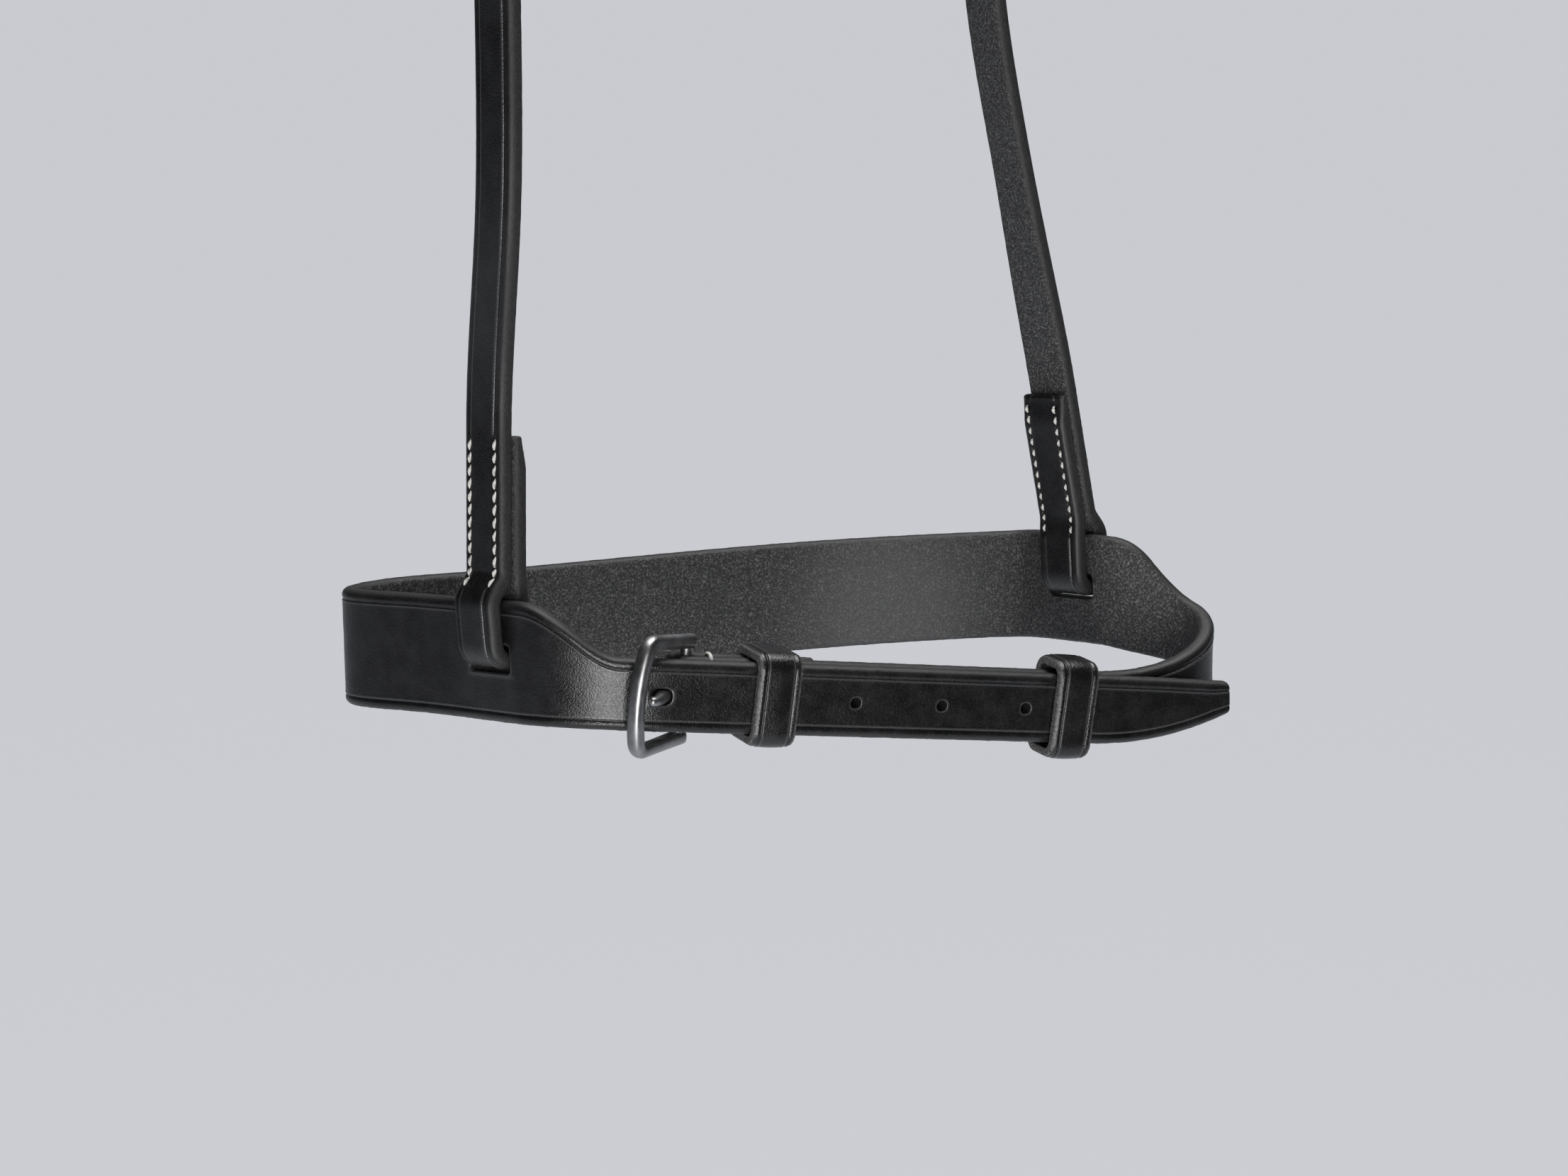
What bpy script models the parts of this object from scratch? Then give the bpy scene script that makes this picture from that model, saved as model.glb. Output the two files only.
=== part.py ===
"""Bridle noseband on its sliphead, buckled and hanging as it does from a horse's poll.

Metres, +Z up, +Y towards the horse's nose, -X on the horse's near (left) side. The origin is the
middle of the underside of the sliphead's crown, where it lies over the poll.
"""

import math

import bmesh
import bpy
import numpy as np
from mathutils import Matrix, Vector

MM = 0.001

# Leather, thread and clearances
leather = 4.5 * MM
edge_chamfer = 1.1 * MM
fit_gap = 0.3 * MM
cut_overrun = 1.0 * MM
thread_radius = 0.4 * MM
thread_relief = 0.25 * MM
stitch_pitch = 3.2 * MM
seam_inset = 2.6 * MM
station_step = 6.0 * MM

# Nosepiece: the wide nose band, and the narrow straps that buckle under the jaw
nose_width = 32.0 * MM
billet_width = 19.0 * MM
slot_half_span = 97.0 * MM
nose_reach = 68.0 * MM
hang_drop = 449.0 * MM
loop_sag = 22.8 * MM
shoulder_flat = 12.0 * MM
shoulder_length = 24.0 * MM
tip_length = 42.0 * MM
tip_lift = 3.6 * MM
tip_top = 5.6 * MM
tip_bottom = 3.2 * MM

# The loop's line, seen from the near shoulder round the nose to the off side of the jaw. Across in
# shares of the slots' half span, forward in shares of the nose's reach, down in shares of the sag.
near_slot_share = (-0.934, 0.077, -0.763)
nose_line_shares = (
    (-1.045, 0.534, -0.868),
    (-1.100, 0.882, -0.956),
    (-0.946, 1.0, -0.991),
    (-0.760, 0.978, -1.0),
    (-0.224, 0.846, -0.982),
    (0.311, 0.691, -0.956),
    (0.766, 0.537, -0.974),
    (0.975, 0.338, -0.930),
)
off_slot_share = (1.0, 0.041, -0.833)
off_jaw_shares = (
    (1.077, -0.243, -0.855),
    (1.160, -0.441, -0.987),
    (1.124, -0.596, -1.162),
    (1.026, -0.676, -1.360),
    (0.876, -0.672, -1.504),
)
nose_buckle_share = (-0.586, -0.391, -0.789)
near_band_yaw = math.radians(11.0)
near_band_pitch = math.radians(6.0)
off_band_yaw = math.radians(10.0)
off_band_pitch = math.radians(4.5)
jaw_yaw = math.radians(-9.5)
jaw_pitch = math.radians(-7.4)

# Slots for the cheek straps, below the top edge of the band
slot_floor = 18.6 * MM
slot_side_gap = 0.6 * MM
slot_edge_gap = 0.6 * MM
slot_corner = 1.2 * MM
strip_dip = 0.5 * MM

# Cheek straps and crown
cheek_width = 15.5 * MM
loop_seam_length = 33.0 * MM
loop_tail_past_seam = 2.0 * MM
merge_height = 7.0 * MM
tail_skive = 1.6 * MM
tail_skive_length = 9.0 * MM
near_loop_inward = 2.4 * MM
off_loop_inward = 2.3 * MM
near_loop_lean = 0.105
off_loop_lean = 0.175
crown_half_width = 56.0 * MM
crown_rise = 53.0 * MM
crown_side_share = 0.40
near_twist = math.radians(-9.0)
off_twist = math.radians(2.5)
twist_rise = 70.0 * MM
untwist_rise = 110.0 * MM
cheek_lean = math.radians(5.5)
cheek_buckle_drop = 169.0 * MM
cheek_buckle_across = 85.3 * MM

# The cheek straps' lines above their loops, upwards: across in shares of the slots' half span,
# forward in shares of the nose's reach, up in shares of the drop from the crown
near_strap_shares = ((-0.932, 0.012, 0.234), (-0.921, 0.012, 0.356))
off_strap_shares = (
    (0.835, 0.074, 0.173),
    (0.730, 0.066, 0.261),
    (0.639, 0.059, 0.348),
    (0.588, 0.037, 0.454),
    (0.572, 0.015, 0.600),
)

# Buckles, the same for both fastenings apart from the strap's width
hole_pitch = 25.4 * MM
hole_radius = 1.5 * MM
bar_radius = 1.5 * MM
running_gap = 0.12 * MM
fold_skive = 1.2 * MM
bar_past_hole = 5.2 * MM
frame_front = 10.6 * MM
frame_bow = 1.8 * MM
frame_radius = 2.1 * MM
frame_side_gap = 2.6 * MM
frame_corner = 3.2 * MM
frame_side_share = 0.72
frame_taper = 1.5 * MM
prong_radius = 1.6 * MM
prong_tip_radius = 1.3 * MM
prong_play = 0.5 * MM
eye_wall = 1.7 * MM
eye_half_width = 1.9 * MM
prong_rest_angle = math.radians(37.0)
fold_settle = 11.0 * MM

# Keepers
keeper_wall = 2.4 * MM
keeper_width = 12.0 * MM
keeper_gap = 0.4 * MM
runner_slack = 1.1 * MM
keeper_corner = 3.2 * MM
keeper_chamfer = 0.5 * MM

# Stations along each fastening, from its first hole towards the point
nose_tail_end = 42.0 * MM
nose_fixed_at = 27.4 * MM
nose_runner_at = 115.6 * MM
nose_straight_to = 124.0 * MM
nose_tip_at = 166.0 * MM
nose_holes = 5
cheek_tail_end = 40.0 * MM
cheek_fixed_at = 27.5 * MM
cheek_runner_at = 66.0 * MM
cheek_straight_to = 90.0 * MM
cheek_tip_at = 98.0 * MM
cheek_tip_length = 26.0 * MM
cheek_holes = 3
fold_seam_start = 10.5 * MM
billet_bends_at = -2.0 * MM
slot_straight = 8.5 * MM
crown_straight = 14.0 * MM

half_leather = leather / 2
layer_step = leather + fit_gap
fold_radius = bar_radius + fit_gap + leather - fold_skive - half_leather
bar_depth = layer_step + fold_radius
settled_at = bar_past_hole + fold_settle
tail_depth = layer_step + layer_step - fold_skive
frame_depth = half_leather + fit_gap + frame_radius
eye_radius = bar_radius + running_gap + eye_wall


def clear_scene():
    for obj in list(bpy.data.objects):
        bpy.data.objects.remove(obj)


def material(name, color, roughness, metallic):
    made = bpy.data.materials.new(name)
    made.use_nodes = True
    shader = made.node_tree.nodes["Principled BSDF"]
    shader.inputs["Base Color"].default_value = (*color, 1.0)
    shader.inputs["Roughness"].default_value = roughness
    shader.inputs["Metallic"].default_value = metallic
    return made


def unit(vector):
    return vector / np.linalg.norm(vector, axis=-1, keepdims=True)


def smoothstep(value):
    share = np.clip(value, 0.0, 1.0)
    return share * share * (3.0 - 2.0 * share)


class Place:
    """A right-handed frame: x along the strap to its point, y inwards to the horse, z across."""

    def __init__(self, origin, x_axis, y_axis):
        self.origin = np.array(origin, float)
        self.x = unit(np.array(x_axis, float))
        self.y = unit(np.array(y_axis, float))
        self.z = np.cross(self.x, self.y)

    def at(self, x, y=0.0, z=0.0):
        return self.origin + x * self.x + y * self.y + z * self.z

    def matrix(self, x=0.0, y=0.0, z=0.0):
        rows = np.eye(4)
        rows[:3, 0], rows[:3, 1], rows[:3, 2] = self.x, self.y, self.z
        rows[:3, 3] = self.at(x, y, z)
        return Matrix(rows.tolist())


# Paths. Each piece is a pair of arrays, the points and the unit directions at them.


def line_piece(start, end):
    points = np.array([start, end], float)
    way = unit(points[1] - points[0])
    return points, np.array([way, way])


def arc_piece(centre, out, way, radius, turn, count):
    """From centre + radius * out, starting along way, through the angle turn."""
    angle = np.linspace(0.0, turn, count + 1)[:, None]
    outs = np.cos(angle) * out + np.sin(angle) * way
    ways = -np.sin(angle) * out + np.cos(angle) * way
    return centre + radius * outs, ways


def spline_piece(knots, first, last, step):
    """A cubic with continuous curvature through the knots, in chord-length steps."""
    knots = np.array(knots, float)
    chord = np.linalg.norm(np.diff(knots, axis=0), axis=1)
    count = len(knots)
    system = np.zeros((count, count))
    wanted = np.zeros((count, 3))
    system[0, 0] = system[-1, -1] = 1.0
    wanted[0], wanted[-1] = first, last
    for i in range(1, count - 1):
        before, after = chord[i - 1], chord[i]
        system[i, i - 1 : i + 2] = after, 2.0 * (before + after), before
        wanted[i] = 3.0 * (
            after / before * (knots[i] - knots[i - 1])
            + before / after * (knots[i + 1] - knots[i])
        )
    slope = np.linalg.solve(system, wanted)
    points, ways, marks = [], [], [0]
    for i in range(count - 1):
        parts = max(1, round(chord[i] / step))
        u = (np.arange(parts + (i == count - 2)) / parts)[:, None]
        a, b, m, n = knots[i], knots[i + 1], slope[i] * chord[i], slope[i + 1] * chord[i]
        points.append(
            (2 * u**3 - 3 * u**2 + 1) * a
            + (u**3 - 2 * u**2 + u) * m
            + (3 * u**2 - 2 * u**3) * b
            + (u**3 - u**2) * n
        )
        ways.append(
            (6 * u**2 - 6 * u) * (a - b) + (3 * u**2 - 4 * u + 1) * m + (3 * u**2 - 2 * u) * n
        )
        marks.append(marks[-1] + parts)
    return np.concatenate(points), unit(np.concatenate(ways)), marks


def join_pieces(pieces):
    """One path from pieces that meet end to end; also the index where each piece starts."""
    points, ways, starts = [pieces[0][0]], [pieces[0][1]], [0]
    total = len(pieces[0][0])
    for piece in pieces[1:]:
        starts.append(total - 1)
        points.append(piece[0][1:])
        ways.append(piece[1][1:])
        total += len(piece[0]) - 1
    return np.concatenate(points), np.concatenate(ways), starts


def run_lengths(points):
    steps = np.linalg.norm(np.diff(points, axis=0), axis=1)
    return np.concatenate([[0.0], np.cumsum(steps)])


# Meshes


def mesh_object(name, vertices, faces, look=None, matrix=None):
    """A closed mesh whose faces point out. With a matrix its vertices are moved into that frame."""
    mesh = bpy.data.meshes.new(name)
    if matrix is not None:
        inverse = matrix.inverted()
        vertices = [inverse @ Vector(v) for v in vertices]
    mesh.from_pydata([tuple(v) for v in vertices], [], [tuple(f) for f in faces])
    shape = bmesh.new()
    shape.from_mesh(mesh)
    bmesh.ops.recalc_face_normals(shape, faces=shape.faces)
    shape.to_mesh(mesh)
    shape.free()
    obj = bpy.data.objects.new(name, mesh)
    bpy.context.scene.collection.objects.link(obj)
    if matrix is not None:
        obj.matrix_world = matrix
    if look is not None:
        mesh.materials.append(look)
    return obj


def shade_round(obj):
    obj.data.shade_smooth()
    obj.data.set_sharp_from_angle(angle=math.radians(40.0))


def skin(rings, closed):
    """Vertices and faces of a tube through rings of points, capped unless it closes on itself."""
    count, sides = rings.shape[0], rings.shape[1]
    faces = []
    for i in range(count if closed else count - 1):
        here, there = i * sides, (i + 1) % count * sides
        for j in range(sides):
            k = (j + 1) % sides
            faces.append((here + j, here + k, there + k, there + j))
    if not closed:
        faces.append(tuple(range(sides)))
        faces.append(tuple(range((count - 1) * sides, count * sides)))
    return rings.reshape(-1, 3), faces


def tube_rings(points, across, up, radii, sides):
    """Rings of a round tube; across and up span each ring."""
    angle = 2.0 * math.pi * np.arange(sides) / sides
    spread = np.cos(angle)[None, :, None] * across[:, None, :] + np.sin(angle)[None, :, None] * up[:, None, :]
    return points[:, None, :] + radii[:, None, None] * spread


def strap_rings(points, ways, reference, high, low, face, back, chamfer):
    """Rings of a flat strap: high and low edges across the width, face and back through the leather."""
    wide = unit(reference - np.sum(reference * ways, axis=1)[:, None] * ways)
    out = np.cross(wide, ways)
    corners = (
        (high - chamfer, face),
        (high, face - chamfer),
        (high, back + chamfer),
        (high - chamfer, back),
        (low + chamfer, back),
        (low, back + chamfer),
        (low, face - chamfer),
        (low + chamfer, face),
    )
    rings = [points + across[:, None] * wide + through[:, None] * out for across, through in corners]
    return np.stack(rings, axis=1)


def prism(name, place_matrix, outline, start, end, lean=0.0):
    """An outline in the frame's x and z, carried from start to end along its y, leaning towards x."""
    near = [place_matrix @ Vector((x + lean * start, start, z)) for x, z in outline]
    far = [place_matrix @ Vector((x + lean * end, end, z)) for x, z in outline]
    count = len(outline)
    faces = [tuple(range(count)), tuple(range(count, 2 * count))]
    for i in range(count):
        j = (i + 1) % count
        faces.append((i, j, count + j, count + i))
    return mesh_object(name, near + far, faces)


def rounded_outline(left, right, bottom, top, radius, per_corner):
    """A rectangle with round corners, as points from its lower right corner on."""
    points = []
    middles = (
        (right - radius, bottom + radius, -0.5),
        (right - radius, top - radius, 0.0),
        (left + radius, top - radius, 0.5),
        (left + radius, bottom + radius, 1.0),
    )
    for x, z, half_turns in middles:
        for i in range(per_corner + 1):
            angle = math.pi * (half_turns + 0.5 * i / per_corner)
            points.append((x + radius * math.cos(angle), z + radius * math.sin(angle)))
    return points


def round_outline(radius, count):
    angles = [2.0 * math.pi * i / count for i in range(count)]
    return [(radius * math.cos(a), radius * math.sin(a)) for a in angles]


def cut(obj, cutters, operation="DIFFERENCE"):
    for cutter in cutters:
        cutter.hide_render = True
        cutter.display_type = "WIRE"
        step = obj.modifiers.new(cutter.name, "BOOLEAN")
        step.operation = operation
        step.solver = "EXACT"
        step.object = cutter


def thread_ring(name, face_line, back_line, side, look, relief=0.0):
    """A seam's thread: a run along one face, through the leather, and back along the other.

    It swells at each stitch. With a relief it is instead the smooth space that the thread needs.
    """
    closed = np.concatenate([face_line, back_line[::-1]])
    ahead, behind = np.roll(closed, -1, axis=0), np.roll(closed, 1, axis=0)
    ways = unit(unit(ahead - closed) + unit(closed - behind))
    across = np.cross(ways, side)
    swell = np.where(np.arange(len(closed)) % 2 == 0, 1.0, 0.8)
    radii = thread_radius * swell
    if relief:
        radii = np.full(len(closed), thread_radius + relief)
    upward = np.broadcast_to(side, closed.shape)
    vertices, faces = skin(tube_rings(closed, unit(across), upward, radii, 6), True)
    return mesh_object(name, vertices, faces, look)


# Fastenings: what is alike at both buckles, in the frame of each


def fold_pieces(place):
    """The buckle strap's line round the bar, and back to where the tail lies on the strap."""
    bend = arc_piece(place.at(bar_past_hole, bar_depth), -place.y, -place.x, fold_radius, math.pi, 8)
    knots = (place.at(bar_past_hole, bar_depth + fold_radius), place.at(settled_at, tail_depth))
    settle = spline_piece(knots, place.x, place.x, fold_settle / 4)[:2]
    return bend, settle


def frame_line(strap_width):
    """Half of the frame's middle line, in its own plane: the side bar, its corner, and the bowed front."""
    front = np.array([-frame_front - bar_past_hole, -frame_depth - bar_depth])
    reach = np.linalg.norm(front)
    half_high = strap_width / 2 + frame_side_gap + frame_radius
    half_bar = half_high - frame_taper
    bow = 2.0 * math.atan2(frame_bow, half_high - frame_corner)
    slope = math.atan2(frame_taper, reach)
    corner_from = reach - frame_corner * (math.sin(slope) + math.cos(bow))
    high = half_bar + math.tan(slope) * (corner_from + frame_radius)
    out = np.array([-math.sin(slope), math.cos(slope), 0.0])
    way = np.array([math.cos(slope), math.sin(slope), 0.0])
    start, end = np.array([-frame_radius, half_bar, 0.0]), np.array([corner_from, high, 0.0])
    corner = arc_piece(end - frame_corner * out, out, way, frame_corner, math.pi / 2 + slope - bow, 6)
    last = corner[0][-1]
    bow_radius = last[1] / math.sin(bow)
    centre = np.array([last[0] - bow_radius * math.cos(bow), 0.0, 0.0])
    out = np.array([math.cos(bow), math.sin(bow), 0.0])
    way = np.array([math.sin(bow), -math.cos(bow), 0.0])
    bowed = arc_piece(centre, out, way, bow_radius, bow, 4)
    points, ways, _ = join_pieces([line_piece(start, end), corner, bowed])
    return points, ways, front / reach, half_high, half_bar


def buckle_frame(name, place, strap_width, look):
    """A tapered frame with a bowed front, round in section, and the bar that the strap folds over."""
    matrix = place.matrix(bar_past_hole, bar_depth)
    half_points, half_ways, along, half_high, half_bar = frame_line(strap_width)
    mirror = np.array([1.0, -1.0, 1.0])
    points = np.concatenate([half_points, (half_points * mirror)[-2::-1]])
    ways = np.concatenate([half_ways, -(half_ways * mirror)[-2::-1]])
    to_place = np.array([[along[0], along[1], 0.0], [0.0, 0.0, 1.0], [along[1], -along[0], 0.0]])
    points, ways = points @ to_place, ways @ to_place
    flat = np.broadcast_to(np.array([-along[1], along[0], 0.0]), points.shape)
    share = smoothstep((1.0 - np.abs(points[:, 2]) / half_high) * 5.0)
    radii = frame_radius * (frame_side_share + (1.0 - frame_side_share) * share)
    vertices, faces = skin(tube_rings(points, flat, np.cross(ways, flat), radii, 10), False)
    obj = mesh_object(name, vertices, faces, look)
    obj.matrix_world = matrix
    turned = Matrix.Rotation(math.pi / 2, 4, "X")
    bar = prism(name + "_bar", turned, round_outline(bar_radius, 24), -half_bar, half_bar)
    bar.parent = obj
    cut(obj, [bar], "UNION")
    shade_round(obj)
    return obj


def prong_line():
    """The prong's middle, from its eye through the billet to the frame's front, relative to the bar."""
    front = np.array([-frame_front - bar_past_hole, -frame_depth - bar_depth])
    front = front * (1.0 + frame_bow / np.linalg.norm(front))
    rest = frame_radius + fit_gap + prong_tip_radius
    tip = front + rest * np.array([math.cos(prong_rest_angle), -math.sin(prong_rest_angle)])
    eye = eye_radius * np.array([-0.75, -0.5])
    heights = np.array([half_leather, -half_leather]) - bar_depth
    across = eye[0] + (tip[0] - eye[0]) * (heights - eye[1]) / (tip[1] - eye[1])
    knots = (eye, (across[0], heights[0]), (across[1], heights[1]), tip)
    return np.array([(x, y, 0.0) for x, y in knots])


def buckle_prong(name, place, look):
    """A prong whose eye turns on the buckle's bar."""
    knots = prong_line()
    first, last = unit(knots[1] - knots[0]), unit(np.array([-1.0, -0.25, 0.0]))
    points, ways, _ = spline_piece(knots, first, last, prong_radius)
    flat = np.broadcast_to(np.array([0.0, 0.0, 1.0]), points.shape)
    share = np.linspace(0.0, 1.0, len(points))
    radii = prong_radius + (prong_tip_radius - prong_radius) * smoothstep(share * 1.5 - 0.5)
    radii[-1] = prong_tip_radius * 0.6
    vertices, faces = skin(tube_rings(points, np.cross(flat, ways), flat, radii, 8), False)
    obj = mesh_object(name, vertices, faces, look)
    obj.matrix_world = place.matrix(bar_past_hole, bar_depth)
    turned = Matrix.Rotation(math.pi / 2, 4, "X")
    eye = prism(name + "_eye", turned, round_outline(eye_radius, 24), -eye_half_width, eye_half_width)
    bore_end = eye_half_width + cut_overrun
    bore = prism(name + "_bore", turned, round_outline(bar_radius + running_gap, 24), -bore_end, bore_end)
    eye.parent = obj
    bore.parent = obj
    cut(obj, [eye], "UNION")
    cut(obj, [bore])
    shade_round(obj)
    return obj


def prong_openings(name, place):
    """The billet's first hole, which leans with the prong, and the slot in the fold round the bar."""
    knots = prong_line()
    lean = (knots[1][0] - knots[2][0]) / (knots[1][1] - knots[2][1])
    middle = (knots[1][0] + knots[2][0]) / 2 + bar_past_hole
    half_long = prong_radius * math.hypot(1.0, lean)
    left, right = -half_long - prong_play, half_long + 2.4 * prong_play
    half = prong_radius + prong_play
    hole = prism(
        name + "_hole",
        place.matrix(middle),
        rounded_outline(left, right, -half, half, half * 0.95, 3),
        -half_leather - cut_overrun,
        half_leather + layer_step,
        lean,
    )
    half = eye_half_width + fit_gap
    slot_end = bar_past_hole + eye_radius + 4.0 * fit_gap
    slot = prism(
        name + "_slot",
        place.matrix(),
        rounded_outline(bar_past_hole - bar_depth, slot_end, -half, half, half * 0.9, 3),
        half_leather + fit_gap / 2,
        bar_depth + fold_radius + leather,
    )
    return [hole, slot]


def strap_holes(name, place, count):
    """The round holes after the first, in the billet only."""
    made = []
    for i in range(1, count):
        made.append(
            prism(
                f"{name}_{i}",
                place.matrix(hole_pitch * i),
                round_outline(hole_radius, 16),
                -half_leather - cut_overrun,
                half_leather + fit_gap / 2,
            )
        )
    return made


def keeper(name, place, station, strap_width, back_depth, slack, look):
    """A leather loop round all the layers, its ends butted behind; slack is left past each strap edge."""
    middle = keeper_wall / 2 + keeper_gap
    front, back = -half_leather - middle, back_depth + middle
    high = strap_width / 2 + middle + slack
    outline = rounded_outline(front, back, -high, high, keeper_corner, 3)
    points = np.array([(0.0, y, z) for y, z in outline])
    turn = np.array([math.pi * (-0.5 + 0.5 * (i // 4) + 0.5 / 3 * (i % 4)) for i in range(len(outline))])
    out = np.stack([np.zeros(len(turn)), np.cos(turn), np.sin(turn)], axis=1)
    side = np.array([1.0, 0.0, 0.0])
    half, wall, cham = keeper_width / 2, keeper_wall / 2, keeper_chamfer
    corners = (
        (half - cham, wall),
        (half, wall - cham),
        (half, cham - wall),
        (half - cham, -wall),
        (cham - half, -wall),
        (-half, cham - wall),
        (-half, wall - cham),
        (cham - half, wall),
    )
    rings = np.stack([points + across * side + through * out for across, through in corners], axis=1)
    vertices, faces = skin(rings, True)
    obj = mesh_object(name, vertices, faces, look)
    obj.matrix_world = place.matrix(station)
    return obj


def keeper_stitch(name, place, station, back_depth, look):
    """The zigzag of thread that holds a keeper's butted ends, on the back of the keeper."""
    depth = back_depth + keeper_gap + keeper_wall + thread_radius + fit_gap / 2
    across = keeper_width / 2 - seam_inset
    rise = stitch_pitch / 2
    turns = 5
    knots = []
    for i in range(turns):
        share = i / (turns - 1)
        knots.append((across * (2.0 * share - 1.0), depth, rise if i % 2 else -rise))
    points = np.array(knots)
    ways = unit(np.gradient(points, axis=0))
    flat = np.broadcast_to(np.array([0.0, 1.0, 0.0]), points.shape)
    radii = np.full(len(points), thread_radius)
    vertices, faces = skin(tube_rings(points, flat, np.cross(ways, flat), radii, 6), False)
    obj = mesh_object(name, vertices, faces, look)
    obj.matrix_world = place.matrix(station)
    return obj


def seam_stations(start, end):
    count = 2 * round((end - start) / stitch_pitch)
    return np.linspace(start, end, count + 1)


def fold_seams(name, place, strap_width, tail_end, look):
    """Two rows that sew the turned-back tail to the buckle strap. Returns the spaces they take."""
    spaces = []
    along = seam_stations(fold_seam_start + fold_settle / 2, tail_end - seam_inset)
    sink = thread_radius + thread_relief / 2
    face_depth = layer_step - half_leather + sink
    back_depth = tail_depth + half_leather - sink
    for label, sign in (("upper", 1.0), ("lower", -1.0)):
        z = sign * (strap_width / 2 - seam_inset)
        face = np.array([place.at(x, face_depth, z) for x in along])
        back = np.array([place.at(x, back_depth, z) for x in along])
        thread_ring(f"{name}_{label}", face, back, place.z, look)
        spaces.append(thread_ring(f"{name}_{label}_space", face, back, place.z, None, thread_relief))
    return spaces


# Leather pieces


def jaw_place():
    """Frame of the nose buckle: x along the jaw strap to the billet's point, y in, z up."""
    x, y, z = nose_buckle_share
    along = np.array(
        [
            math.cos(jaw_yaw) * math.cos(jaw_pitch),
            math.sin(jaw_yaw) * math.cos(jaw_pitch),
            math.sin(jaw_pitch),
        ]
    )
    up = unit(np.array([0.0, 0.0, 1.0]) - along[2] * along)
    return Place(loop_point((x, y, z)), along, np.cross(up, along))


def loop_point(shares):
    x, y, z = shares
    return np.array([x * slot_half_span, y * nose_reach, z * loop_sag - hang_drop])


def nose_ring(place, near_strip, off_strip):
    """The loop's line from the billet round to the buckle strap, straight and flat at both slots."""
    near_start, near_end = near_strip.at(slot_straight), near_strip.at(-slot_straight)
    off_start, off_end = off_strip.at(slot_straight), off_strip.at(-slot_straight)
    shoulder = spline_piece(
        [place.at(billet_bends_at), near_start], -place.x, -near_strip.x, station_step
    )
    nose = spline_piece(
        [near_end] + [loop_point(shares) for shares in nose_line_shares] + [off_start],
        -near_strip.x,
        -off_strip.x,
        station_step,
    )
    jaw_end = place.at(nose_straight_to, layer_step)
    jaw = spline_piece(
        [off_end] + [loop_point(shares) for shares in off_jaw_shares] + [jaw_end],
        -off_strip.x,
        -place.x,
        station_step,
    )
    return shoulder, line_piece(near_start, near_end), nose, line_piece(off_start, off_end), jaw


def nosepiece(place, near_strip, off_strip, look):
    """One strap: point, billet, near shoulder, nose band, off shoulder, buckle strap and its tail."""
    bend, settle = fold_pieces(place)
    tip_knots = (place.at(nose_tip_at, 0.0, tip_lift), place.at(nose_straight_to))
    steepness = 2.0 * tip_lift / (nose_tip_at - nose_straight_to)
    tip = spline_piece(tip_knots, unit(-place.x - steepness * place.z), -place.x, station_step)
    billet = line_piece(tip_knots[-1], place.at(billet_bends_at))
    thin_from = line_piece(place.at(nose_straight_to, layer_step), place.at(settled_at, layer_step))
    thin_to = line_piece(place.at(settled_at, layer_step), place.at(bar_past_hole, layer_step))
    tail = line_piece(place.at(settled_at, tail_depth), place.at(nose_tail_end, tail_depth))
    ring = nose_ring(place, near_strip, off_strip)
    points, ways, starts = join_pieces([tip, billet, *ring, thin_from, thin_to, bend, settle, tail])
    run = run_lengths(points)
    near, off = run[starts[3]] + slot_straight, run[starts[5]] + slot_straight
    rise = smoothstep((run - near + shoulder_flat + shoulder_length) / shoulder_length)
    fall = smoothstep((off + shoulder_flat + shoulder_length - run) / shoulder_length)
    half = billet_width / 2
    high = half + (nose_width - billet_width) * rise * fall
    low = np.full(len(run), -half)
    taper = np.clip(1.0 - run / tip_length, 0.0, 1.0) ** 2
    high -= (half - tip_top) * taper
    low += (half - tip_bottom) * taper
    face = np.full(len(run), half_leather)
    back = -face
    back[starts[9] :] += fold_skive
    reference = np.tile(np.array([0.0, 0.0, 1.0]), (len(run), 1))
    reference[starts[7] :] = place.z
    rings = strap_rings(points, ways, reference, high, low, face, back, edge_chamfer)
    vertices, faces = skin(rings, False)
    return mesh_object("nosepiece", vertices, faces, look)


def strip_place(shares, out_sign, yaw, pitch):
    """Frame at a slot: y in towards the horse, z across the band; near x points back, off x forward."""
    inward = -out_sign * np.array([math.cos(yaw), math.sin(yaw), 0.0])
    forward = np.array([-math.sin(yaw), math.cos(yaw), 0.0])
    upward = math.sin(pitch) * forward + math.cos(pitch) * np.array([0.0, 0.0, 1.0])
    return Place(loop_point(shares), np.cross(inward, upward), inward)


def band_top():
    return nose_width - billet_width / 2


def loop_turn_height():
    """Height of the cheek loop's turn above the band's own line: its strap just clears the slot's floor."""
    outer = half_leather + fit_gap + leather
    return band_top() - slot_floor + slot_edge_gap + outer


def slot_cutter(name, place):
    half = cheek_width / 2 + slot_side_gap
    floor = band_top() - slot_floor
    roof = loop_turn_height() - strip_dip
    deep = nose_width / 2
    return prism(name, place.matrix(), rounded_outline(-half, half, floor, roof, slot_corner, 3), -deep, deep)


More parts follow.
